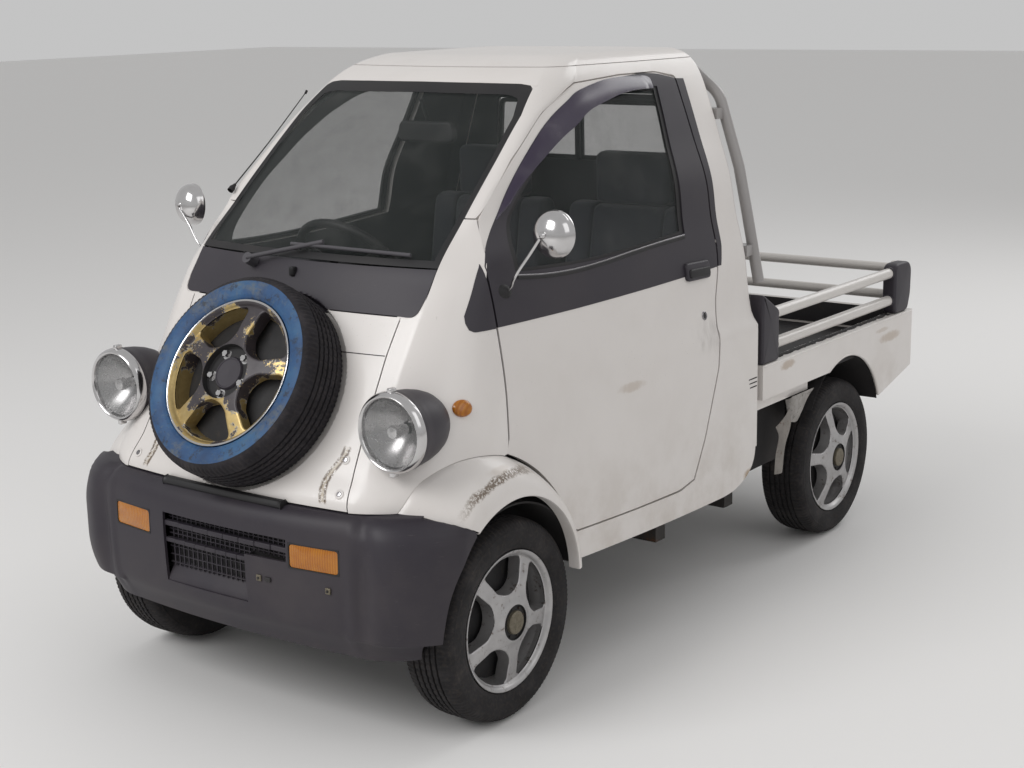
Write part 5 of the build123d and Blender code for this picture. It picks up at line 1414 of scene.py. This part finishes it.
# Height and radius of the hubs
ROAD_HUB = ((85.2, 46.4), (84.2, 45), (80, 44.4), (79.5, 38), (80, 31), (87.5, 30), (89.6, 28), (90, 24),
            (89.4, 14), (89.2, 0.1))
SPARE_HUB = ((75.6, 74.5), (74.6, 72.5), (60, 70), (57, 67), (57, 44), (62, 41.5), (64, 40), (64, 38), (62, 36),
             (61, 0.1))
# Tyre's wall: distance from its middle plane, and height over the rim of a tyre 81 mm deep
TYRE_DEPTH = 81.0
TYRE_WALL = ((56, -2), (63, 0), (69, 4), (73.5, 14), (76.6, 28), (77.5, 42), (76.3, 54), (73.4, 64), (68, 71.5),
             (61, 75.6))


def disc_height(r):
    """Height of the disc's face over the wheel's middle at a radius."""
    return eased(np.asarray(r, float).ravel(), DISC_X[:, 0], DISC_X[:, 1:])[:, 0].reshape(np.shape(r))


def window_half(r):
    """Half angle of a window at a radius: an ellipse's lower half, straight sides and rounded top corners."""
    r = np.asarray(r, float)
    middle, top, widest, narrow = 112.0, 152.0, math.radians(26.5), math.radians(28.0)
    low = widest * np.sqrt(np.clip(1 - ((middle - r) / (middle - WINDOW_R0)) ** 2, 0, 1))
    side = widest + (narrow - widest) * (r - middle) / (top - middle)
    corner = narrow - math.radians(4.4) * (1 - np.sqrt(np.clip(1 - ((r - top) / (WINDOW_R1 - top)) ** 2, 0, 1)))
    return np.where(r <= WINDOW_R0, 0, np.where(r < middle, low, np.where(r < top, side, corner)))


def split_marks(profile, rows, first, rest):
    """Marks of a profile's rows of faces: one for the first rows and another for the rest."""
    return np.where(np.arange(len(profile) - 1) < rows, first, rest)


def disc_parts(step, face, inner_r):
    """Five broad spokes round a hub, with deep windows between them.

    Every window's edge is rolled over: the face drops by a quarter circle of the distance to it.
    """
    sector = math.pi / SPOKES
    rows = np.concatenate([
        np.linspace(inner_r, WINDOW_R0 - 4, 7), WINDOW_R0 - np.array((2.5, 1, 0)),
        WINDOW_R0 + 36 * (1 - np.cos(np.linspace(0.12, 1, 14) * math.pi / 2)),
        np.linspace(112, 152, 10)[1:], WINDOW_R1 - 14 * (1 - np.sin(np.linspace(0.1, 1, 9) * math.pi / 2)),
    ])
    half = sector - window_half(rows)
    edge = np.array((0, 0.5, 1.3, 2.6, 4.4, 7.0, 11.0))
    inner = np.linspace(-1, 1, 9)[1:-1]
    r = rows[:, None]
    left = -half[:, None] + edge[None] / r
    middle = inner[None] * (half[:, None] - 11 / r)
    angle = np.concatenate([left, middle, -left[:, ::-1]], 1)
    r = np.repeat(r, angle.shape[1], 1)
    # Outline of the window beside the spoke, for the distance to it
    up = np.linspace(WINDOW_R0, WINDOW_R1, 160)
    turn = sector - window_half(up)
    shore = np.concatenate([polar(0, up, turn), polar(0, WINDOW_R1, np.linspace(turn[-1], sector, 30))])[:, 1:]
    flat = polar(0, r, abs(angle))[..., 1:].reshape(-1, 2)
    away = np.sqrt(((flat[:, None] - shore[None]) ** 2).sum(-1)).min(1).reshape(r.shape)
    fillet = 4.0
    x = disc_height(r) - fillet * (1 - np.sqrt(np.clip(1 - (1 - np.clip(away / fillet, 0, 1)) ** 2, 0, 1)))

    def grown(r):
        return r + step * np.clip((r - WINDOW_R0) / (WINDOW_R1 - WINDOW_R0), 0, 1)

    parts = []
    loop_r = np.concatenate([up, np.full(9, WINDOW_R1), up[::-1]])
    half_w = window_half(up)
    loop_a = np.concatenate([half_w, np.linspace(half_w[-1], -half_w[-1], 11)[1:-1], -half_w[::-1]])
    loop_x = disc_height(loop_r) - fillet
    loop_r = grown(loop_r)
    heart = 120
    for k in range(SPOKES):
        turn = 2 * sector * k
        parts.append(sheet(polar(x, grown(r), angle + turn), face, away=(-400, 0, 0)))
        turn += sector
        rings = [polar(loop_x - deep, loop_r - shrink * np.sign(loop_r - heart), loop_a + turn)
                 for deep, shrink in ((0, 0), (10, 0.8), (34, 2.5))]
        points, quads, marks = sheet(rings, face, wrap=True, away=polar(0, heart, turn))
        parts.append((points, [quad[::-1] for quad in quads], marks))
    return parts


def rim_parts(rim_r, inner_r, hub, face=0, dark=1, bright=2, cap=3):
    """Rim about the X axis with its outer face at +X: lip, barrel, spokes, and a hub of dark recess and cap."""
    step = rim_r - RIM_R
    lip = [(57.5, WINDOW_R1 + step), (58.5, 168 + step), (61.5, 170 + step), (65, 171.8 + step), (67.5, 174 + step),
           (69, 176 + step), (70, 178 + step), (71, 179.6 + step), (71.4, 181 + step), (70.6, rim_r + 0.4),
           (68.5, rim_r + 0.8), (63, rim_r - 1), (60, rim_r - 6)]
    barrel = [(54, 167 + step), (36, 164 + step), (12, 155 + step), (-30, 152 + step), (-52, 160 + step),
              (-60, 168 + step), (-66, 176 + step), (-71, rim_r), (-66, rim_r), (-60, 172 + step)]
    back = [(14, 160 + step), (18, 120), (26, 80), (30, 46), (20, 44), (20, 0.1)]
    # The dark mark on the barrel, the back plate and the hub's recess paints the shade inside the wheel.
    rings = (
        (lip, split_marks(lip, 6, face, bright), 200, -300),
        (barrel, split_marks(barrel, 2, face, dark), 96, -2000),
        (back, dark, 60, 300),
        (hub, split_marks(hub, 4, dark, cap), 72, -300),
    )
    return disc_parts(step, face, inner_r) + [
        turned(profile, finish=marks, sides=sides, shut=False, away=(away, 0, 0))
        for profile, marks, sides, away in rings
    ]


def nuts(count, radius, size, x0, x1, finish, phase=0.0):
    """Six-sided bolt heads round the hub."""
    head = turned(((x0, size), (x1 - 1.2, size), (x1, size * 0.8), (x1, 0.1)), finish=finish, sides=6)
    foot = turned(((x0, size * 1.5), (x0 + 1.4, size * 1.5), (x0 + 1.6, size * 0.9)), finish=finish, sides=16)
    turns = 2 * math.pi * np.arange(count) / count + phase
    return [placed(part, shift=polar(0, radius, a)) for a in turns for part in (head, foot)]


def tyre_parts(rim_r, side, tread):
    """Tyre about the X axis: a rounded profile with five grooves round it and fine cuts on its shoulders."""
    base = rim_r + 0.3
    scale = (TYRE_R - base) / TYRE_DEPTH
    wall = flowing(TYRE_WALL, 30)
    top = [(54, 77.6), (47, 79.2), (42, 79.9)]
    for g in (36.0, 18.0):
        top += [(g + 3.2, 80.5), (g + 2.7, 75), (g - 2.7, 75), (g - 3.2, 80.7), (g - 8, 80.9)]
    top += [(3.2, 80.9), (2.7, 75), (0, 75)]
    half = np.concatenate([wall, top])
    profile = np.concatenate([half, half[::-1][1:] * (-1, 1)])
    profile[:, 1] = base + profile[:, 1] * scale

    def cut(x, r, t):
        """Fine cuts across the shoulder, wider ones between the grooves, and two raised rings on the wall."""
        across, high = np.abs(x), (r - base) / scale
        shoulder = np.clip((across - 41) / 3, 0, 1) * np.clip((high - 63) / 3, 0, 1)
        cuts = (np.sin(120 * t + np.sign(x) * 0.8) > 0.35) * shoulder * 1.7
        fine = (np.sin(80 * t + 1.9 + x * 0.05) > 0.8) * (across < 42) * (high > 78) * 2.0
        ridge = 0.8 * ((high > 14) & (high < 17)) + 0.9 * ((high > 54) & (high < 57))
        return np.sign(x) * (ridge * (across > 60) - cuts * 0.6), -cuts * np.clip((high - 66) / 6, 0, 1) - fine

    return [turned(profile, finish=split_marks(profile, 21, side, tread), sides=480, wave=cut)]


def make_wheels():
    """Road wheels: silver rims with worn caps, and black tyres."""
    rim = rim_parts(RIM_R, 46, ROAD_HUB) + nuts(8, 38, 3.4, 78, 83, 4)
    tyre = tyre_parts(RIM_R, 0, 0)
    for place, y, spin in (("front", FRONT_AXLE_Y, 59), ("rear", REAR_AXLE_Y, 28)):
        c, n = math.cos(math.radians(spin)), math.sin(math.radians(spin))
        spun = [placed(p, ((1, 0, 0), (0, c, -n), (0, n, c))) for p in rim]
        for side, turn in SIDES:
            at = (WHEEL_X, y, AXLE_Z)
            body = f"wheel_{place}_{side}"
            build(f"star_rim_{place}_{side}", [turn(placed(p, shift=at)) for p in spun],
                  "alloy barrel alloy gold_cap steel", body, [f"rim_{place}_{side}"], "alloy", sharp=35)
            build(f"road_tyre_{place}_{side}", [turn(placed(p, shift=at)) for p in tyre], "tyre", body,
                  [f"tyre_{place}_{side}"], "tyre", sharp=32)


def make_spare():
    """Spare wheel in its dish: peeled rim, bright nuts and a blue sidewall."""
    turn = basis(SPARE_N)
    c, s = math.cos(SPARE_PHASE), math.sin(SPARE_PHASE)
    turn = turn @ np.array(((1, 0, 0), (0, c, -s), (0, s, c)))
    at = SPARE_FACE - SPARE_N * (TYRE_W / 2)
    rim = rim_parts(SPARE_RIM_R, 74, SPARE_HUB) + nuts(5, 56, 9, 56, 70, 2, math.pi / 5)
    build("spare_star_rim", [placed(p, turn, at) for p in rim], "peeled barrel chrome matt_black", "body",
          ["spare_rim"], "spare_alloy", sharp=35)
    tyre = tyre_parts(SPARE_RIM_R, 1, 0)
    build("spare_blue_tyre", [placed(p, turn, at) for p in tyre], "spare_tyre blue", "body",
          ["spare_tyre"], "tyre", sharp=32)
    plate = turned(((-4, 60), (0, 62), (60, 62), (66, 58), (66, 0.1)), DISH_FLOOR, SPARE_N, 0, 48)
    trim("spare_carrier", [plate], "guard")


# ---------------------------------------------------------------- bed

GATE_FRONT_Y, GATE_BACK_Y, GATE_HALF = 1363.0, 1389.0, 582.0
GATE_LOW_Z, GATE_TOP_Z = 604.0, 690.0
RAIL_X = 612.0
RAILS_Z = (738.0, 834.0)
REAR_ARCH = np.array((0.0, REAR_AXLE_Y, 342.0))


def make_bed():
    """Bed: corner posts, side tubes, tailgate with its end plates, tail lamps, arch lips, guards and lining."""
    front = rounded(((291, 690.3), (291, 905), (301, 906), (392, 852), (398, 838), (398, 690.3)), 9)
    rear = rounded(((1262, 690.3), (1252, 718), (1252, 854), (1275, 866), (1368, 864), (1388, 838), (1384, 748),
                    (1362, 690.3)), 18)
    posts = [pillow(front, 588, 638, 9), pillow(rear, 588, 638, 10)]
    build("corner_posts", posts, "matt_black", "body", ["bed_posts"], "dark_plastic", True)
    tubes = [tube(np.linspace((RAIL_X, 396, z), (RAIL_X, 1254, z), 12), 18, 0, 28, up=(1, 0, 0)) for z in RAILS_Z]
    caps = [turned(((-3, 22), (3, 22), (5, 19.5), (5, 17)), (RAIL_X, y, z), (0, 1 if y < 800 else -1, 0), 1, 28)
            for z in RAILS_Z for y in (398, 1251)]
    build("side_rails", tubes + caps, "tube_paint matt_black", "body", ["bed_tubes"], "white_tube", True)
    # Tailgate: a pressed panel, two tubes and two bolted end plates
    x, z = np.meshgrid(np.linspace(-GATE_HALF, GATE_HALF, 90), np.linspace(GATE_LOW_Z, GATE_TOP_Z, 20))
    inset = np.prod([np.clip(d / 8, 0, 1) for d in (GATE_HALF - 40 - np.abs(x), z - 630, 668 - z)], axis=0)
    outer = sheet(joined(x, GATE_BACK_Y - 8 * inset, z), away=(0, 1300, 640))
    inner = sheet(joined(x, GATE_FRONT_Y, z), away=(0, 1500, 640))
    corners = ((-1, GATE_LOW_Z), (1, GATE_LOW_Z), (1, GATE_TOP_Z), (-1, GATE_TOP_Z))
    rim = [[(GATE_HALF * side, y, level) for side, level in corners] for y in (GATE_FRONT_Y, GATE_BACK_Y)]
    rim = sheet(rim, wrap=True, away=(0, 1376, 640))
    bars = [tube(np.linspace((-572, 1371, z), (572, 1371, z), 14), 16.5, 0, 28) for z in RAILS_Z]
    plate = rounded(((1349, 672), (1387, 672), (1387, 850), (1378, 860), (1358, 860), (1349, 850)), 6)
    ends = [pillow(plate, 571, 582, 2)] + [
        turned(((-1, 7), (3, 7), (4, 5.5), (4, 0.1)), (571, 1360, z), (-1, 0, 0), 1, 6) for z in (684, 712, 786, 846)
    ]
    parts = [outer, inner, rim, *bars, *ends, *map(mirrored, ends)]
    build("gate_frame", parts, "tube_paint steel", "tailgate", ["tailgate"], "white_tube", bevel=1.2)
    # Tail lamps: an amber third between two red ones
    lenses = [block((x0, 1368, 505.5), (x1, 1394.5, 571.5), 4, k)
              for k, (x0, x1) in enumerate(((430.5, 482), (482.5, 538), (538.5, 589.5)))]
    build("tail_lenses", lenses, "red amber red", "body", ["tail_lamps"], "red_lens", True)
    # Lip and guard of the rear wheel arch, crease and notched flange of the bed's side, and the bed's dark lining,
    # which also paints the shade inside the bed
    a = np.radians(np.linspace(19, 118, 60))
    lip = tube(REAR_ARCH + polar(637, 273, a), 4.0, 0, 10, up=(1, 0, 0), flat=1.3)
    a = np.radians(np.linspace(16, 150, 50))[None]
    x = np.array((632.0, 628, 560, 470, 440, 440))[:, None]
    r = np.array((271.0, 272, 272, 272, 268, 200))[:, None]
    guard = sheet(REAR_ARCH + polar(x, r, a), away=REAR_ARCH + (500, 0, -2))
    trim("rear_guards", [guard], "guard", both=True, thick=1.5)
    crease = tube(np.linspace((640, 300, 684), (640, 1388, 684), 40), 2.2, 0, 8, up=(1, 0, 0))
    build("arch_lips", [lip, crease], "paint", "body", slot="paint", both=True)
    y = np.linspace(304, 1250, 220)
    rag = 1.6 * np.sin(y * 0.11) + 1.2 * np.sin(y * 0.37 + 1) + 4.5 * (np.sin(y * 0.083 + 0.6) > 0.72)
    edge = sheet([joined(x, y, z) for x, z in (
        (622 - rag, 690.6), (620 - rag, 692.2), (606 - rag, 692.4), (598 + rag * 0.4, 690.7),
        (597 + rag * 0.4, 677.8),
    )], away=(610, 700, 500))
    build("flange_edges", [edge], "bed", "body", slot="bed_sheet", both=True)
    liner = [block((-613, 309, 600.3), (613, 1354, 606.4), 0.8), block((-600, 308, 601), (600, 309.6, 689.6), 0.7)]
    liner += [block((x, 309, 601), (x + 1.6, 1335, 677.5), 0.7) for x in (-614, 612.4)]
    build("bed_lining_and_shade", liner, "bed", "body", slot="bed_sheet")
    # The tailgate's inner face gets the same dark sheet, partly painted shade.
    build("gate_lining_and_shade", [block((-560, 1361.4, 612), (560, 1363.2, 689), 0.7)], "bed", "tailgate", slot="bed_sheet")
    # Torn pieces of the inner guard: a bent sheet under the side, and a strap ahead of the wheel
    gy, gz = np.meshgrid(np.linspace(0, 1, 16), np.linspace(0, 1, 16))
    upper = along(((505, 549), (655, 549)), 16)
    lower = flowing(((508, 536), (514, 500), (522, 466), (560, 452), (603, 446), (632, 492), (656, 535)), 16)
    bend = 630 - 26 * gz ** 2 + 5 * np.sin(gy * 7) * gz
    flap = np.concatenate([bend[..., None], between(upper, lower, 16)], -1)
    one = flowing(((500, 515), (511, 466), (474, 395), (457, 313)), 24)
    two = flowing(((410, 470), (430, 440), (412, 380), (405, 318)), 24)
    bend = 624 + 6 * np.sin(np.linspace(0, 1, 6) * 3.1)
    strap = np.concatenate([np.broadcast_to(bend[:, None, None], (6, 24, 1)), between(two, one, 6)], -1)
    build("torn_guards", [sheet(flap, away=(300, 560, 500)), sheet(strap, 1, away=(300, 450, 400))],
          "worn_paint rusty_paint", "body", slot="steel", both=True, thick=1.6)


# ---------------------------------------------------------------- cabin

SEAT_X = 265.0


def make_seats():
    """Two seats with crowned, seamed cushions and backs, and head rests."""
    left, right = SEAT_X - 213, SEAT_X + 213
    bolster = (right - left) * 0.2

    def cushion(name, outline, stands=()):
        loop = rounded(outline, 38, steps=6)
        runs = ((left, left + bolster, -4.0), (left + bolster + 1, right - bolster - 1, 0.0),
                (right - bolster, right, -4.0))
        parts = [pillow(drawn_in(loop, draw), a, b, 16) for a, b, draw in runs]
        build(name, parts, "cloth", "body", stands, "fabric", True)

    cushion("seat_cushions", ((-366, 562), (-366, 648), (-330, 656), (20, 640), (60, 610), (60, 562)), ("seats",))
    cushion("seat_backs", ((66, 590), (40, 690), (112, 1160), (136, 1174), (190, 1174), (200, 1120), (196, 700),
                           (130, 590)))
    rest = rounded(((128, 1176), (128, 1318), (142, 1334), (190, 1334), (200, 1306), (200, 1176)), 20)
    heads = pillow(rest, SEAT_X - 130, SEAT_X + 130, 26)
    build("head_rests", [heads], "cloth", "body", slot="fabric", both=True)


def make_cabin():
    """Steering wheel, interior mirror and the dashboard's cowl."""
    top = np.array((-SEAT_X, -560.0, 1010.0))
    way = np.array((0.0, 320.0, 250.0))
    way /= np.linalg.norm(way)
    ring_at, ring_r = top + way * 42, 180
    side = np.array((1.0, 0, 0))
    rise = np.cross(way, side)
    t = np.linspace(0, 2 * math.pi, 97)
    path = ring_at + ring_r * (np.cos(t)[:, None] * side + np.sin(t)[:, None] * rise)
    grip = 13.5 + 0.8 * np.sin(t * 40)
    parts = [tube(path, grip, 0, 14, up=way, ends=False)]
    for angle in (-30, 210, 90):
        a = math.radians(angle)
        out = math.cos(a) * side + math.sin(a) * rise
        line = [ring_at + out * r + way * (-16 + 12 * (r / ring_r) ** 2) for r in np.linspace(30, 172, 10)]
        parts.append(tube(line, np.linspace(20, 13, 10), 0, 12, up=way, flat=0.4))
    parts.append(turned(((-30, 46), (-6, 50), (2, 46), (6, 34), (7, 0.1)), ring_at - way * 4, way, 0, 40))
    parts.append(turned(((0, 18), (26, 16)), top, way, 0, 24))
    build("steering_ring", parts, "trim", "steering_wheel", ["steering_wheel"], "dark_plastic")
    loop = rounded(((-95, 1420), (95, 1420), (100, 1448), (90, 1478), (-90, 1478), (-100, 1448)), 16)
    body = pillow([(x + 40, z - 8) for x, z in loop], -560, -538, 8, 0, 1)
    stem = tube(flowing(((40, -540, 1465), (38, -556, 1500), (36, -566, 1530)), 8), 6, 0, 10, up=(1, 0, 0))
    trim("cabin_mirror", [body, stem])
    cowl = pillow(rounded(((-905, 1062), (-770, 1062), (-772, 1104), (-800, 1122), (-880, 1112)), 14), -400, -130, 10)
    shelf = [cowl, block((-430, -975, 1052), (430, -800, 1080), 12), block((-70, -800, 880), (70, -742, 1010), 10)]
    trim("dash_cowl", shelf, "cabin")


# ---------------------------------------------------------------- kept nodes


def finish_nodes():
    """Finishes on the CAD nodes that are shown as they are."""
    made = finishes()
    for name, key in KEPT_NODES.items():
        obj = frame["nodes"][name]
        if not obj.material_slots:
            raise RuntimeError(f"{name} has no material slot")
        for place in obj.material_slots:
            place.link = "OBJECT"
            place.material = made[key]


# ---------------------------------------------------------------- stage

CAMERA_AT = (3.031, -4.1839, 1.818)
CAMERA_YAW, CAMERA_PITCH, CAMERA_ROLL = 36.58, 13.05, -1.128
CAMERA_LENS = 59.88
# Name, place, size and share of the key light's power
LIGHTS = (
    ("key_light", (-1.6, -6.0, 5.0), 3.5, 1.0), ("fill_light", (6.0, -1.0, 4.5), 4.5, 0.22),
    ("back_light", (1.5, 6.0, 5.0), 4.0, 0.45),
)
FLOOR_HALF = 40.0
FLOOR_TINT = (0.80, 0.79, 0.78)


def make_stage():
    """Pale floor, soft lights, white surroundings and the photo's camera."""
    scene = bpy.context.scene
    look = scene.truck_look
    yaw, pitch, roll = (math.radians(v) for v in (CAMERA_YAW, CAMERA_PITCH, CAMERA_ROLL))
    ahead = Vector((-math.sin(yaw) * math.cos(pitch), math.cos(yaw) * math.cos(pitch), -math.sin(pitch)))
    right = Vector((math.cos(yaw), math.sin(yaw), 0))
    up = right.cross(ahead)
    right, up = right * math.cos(roll) + up * math.sin(roll), up * math.cos(roll) - right * math.sin(roll)
    data = bpy.data.cameras.new("photo_camera")
    data.lens, data.sensor_width = CAMERA_LENS, 36.0
    camera = bpy.data.objects.new("photo_camera", data)
    camera.matrix_world = Matrix.Translation(CAMERA_AT) @ Matrix((right, up, -ahead)).transposed().to_4x4()
    scene.collection.objects.link(camera)
    scene.camera = camera
    mesh = bpy.data.meshes.new("studio_floor")
    corners = ((-1, -1), (1, -1), (1, 1), (-1, 1))
    mesh.from_pydata([(x * FLOOR_HALF, y * FLOOR_HALF, 0) for x, y in corners], [], [(0, 1, 2, 3)])
    floor = bpy.data.objects.new("studio_floor", mesh)
    scene.collection.objects.link(floor)
    pale = Finish("studio_floor")
    mesh.materials.append(pale.done(FLOOR_TINT, 0.7))
    for name, at, size, share in LIGHTS:
        lamp = bpy.data.lights.new(name, "AREA")
        lamp.size, lamp.energy = size, look.key_power * share
        obj = bpy.data.objects.new(name, lamp)
        obj.location = at
        obj.rotation_euler = (Vector((0, 0, 0.6)) - Vector(at)).to_track_quat("-Z", "Y").to_euler()
        scene.collection.objects.link(obj)
    world = bpy.data.worlds.new("studio")
    world.use_nodes = True
    sky = world.node_tree.nodes["Background"].inputs
    sky["Color"].default_value = (1, 1, 1, 1)
    sky["Strength"].default_value = look.world_strength
    scene.world = world
    scene.view_settings.view_transform = "Standard"


# ---------------------------------------------------------------- add-on


class TruckLook(bpy.types.PropertyGroup):
    """Choices for the truck's look."""

    body_colour: bpy.props.FloatVectorProperty(
        name="Body colour", description="Colour of the clean body paint", subtype="COLOR", size=3,
        default=(0.70, 0.665, 0.64), min=0.0, max=1.0,
    )
    key_power: bpy.props.FloatProperty(
        name="Key light", description="Power of the main studio light", default=230.0, min=0.0, subtype="POWER",
    )
    world_strength: bpy.props.FloatProperty(
        name="Surroundings", description="Brightness of the white surroundings", default=0.55, min=0.0,
    )


def operator(name, label, make, text):
    """Operator class that makes one group of pieces."""

    def execute(self, context):
        make()
        return {"FINISHED"}

    return type("TRUCK_OT_" + name, (bpy.types.Operator,), {
        "__doc__": text, "bl_idname": "truck." + name, "bl_label": label, "bl_options": {"REGISTER", "UNDO"},
        "execute": execute,
    })


OPERATORS = (
    operator("kept", "Finish CAD nodes", finish_nodes, "Gives the kept CAD nodes their finishes"),
    operator("cab", "Cab", make_cab, "Builds the cab's painted skins"),
    operator("doors", "Doors", make_doors, "Builds the door skins, bands, seals and panes"),
    operator("glass", "Glass", make_glass, "Builds the windscreen and the rear window"),
    operator("flares", "Flares", make_flares, "Builds the flares over the front wheels"),
    operator("bumper", "Bumper", make_bumper, "Builds the bumper, intake and indicators"),
    operator("lamps", "Lamps", make_lamps, "Builds the headlamps and side markers"),
    operator("door_trim", "Door trim", make_door_trim, "Builds visors, mouldings, handles and mirrors"),
    operator("front_trim", "Front trim", make_front_trim, "Builds the wiper, aerial, vents and bolts"),
    operator("wheels", "Wheels", make_wheels, "Builds the road wheels"),
    operator("spare", "Spare wheel", make_spare, "Builds the spare wheel"),
    operator("bed", "Bed", make_bed, "Builds the bed's posts, rails, tailgate and lamps"),
    operator("seats", "Seats", make_seats, "Builds the seats"),
    operator("cabin", "Cabin", make_cabin, "Builds the steering wheel, mirror and dashboard cowl"),
    operator("stage", "Stage", make_stage, "Builds the floor, lights and camera"),
)


class TRUCK_PT_build(bpy.types.Panel):
    """Buttons for the truck's pieces."""

    bl_idname = "TRUCK_PT_build"
    bl_label = "Rounded Pickup Truck"
    bl_space_type = "VIEW_3D"
    bl_region_type = "UI"
    bl_category = "Truck"

    def draw(self, context):
        look = context.scene.truck_look
        for key in ("body_colour", "key_power", "world_strength"):
            self.layout.prop(look, key)
        for made in OPERATORS:
            self.layout.operator(made.bl_idname)


def register():
    bpy.utils.register_class(TruckLook)
    bpy.types.Scene.truck_look = bpy.props.PointerProperty(type=TruckLook)
    for made in OPERATORS:
        bpy.utils.register_class(made)
    bpy.utils.register_class(TRUCK_PT_build)


def unregister():
    bpy.utils.unregister_class(TRUCK_PT_build)
    for made in reversed(OPERATORS):
        bpy.utils.unregister_class(made)
    del bpy.types.Scene.truck_look
    bpy.utils.unregister_class(TruckLook)


def main():
    """Registers the add-on, builds every group in order and writes both boxes."""
    register()
    for made in OPERATORS:
        getattr(bpy.ops.truck, made.bl_idname.split(".")[1])()


if __name__ == "__main__":
    main()
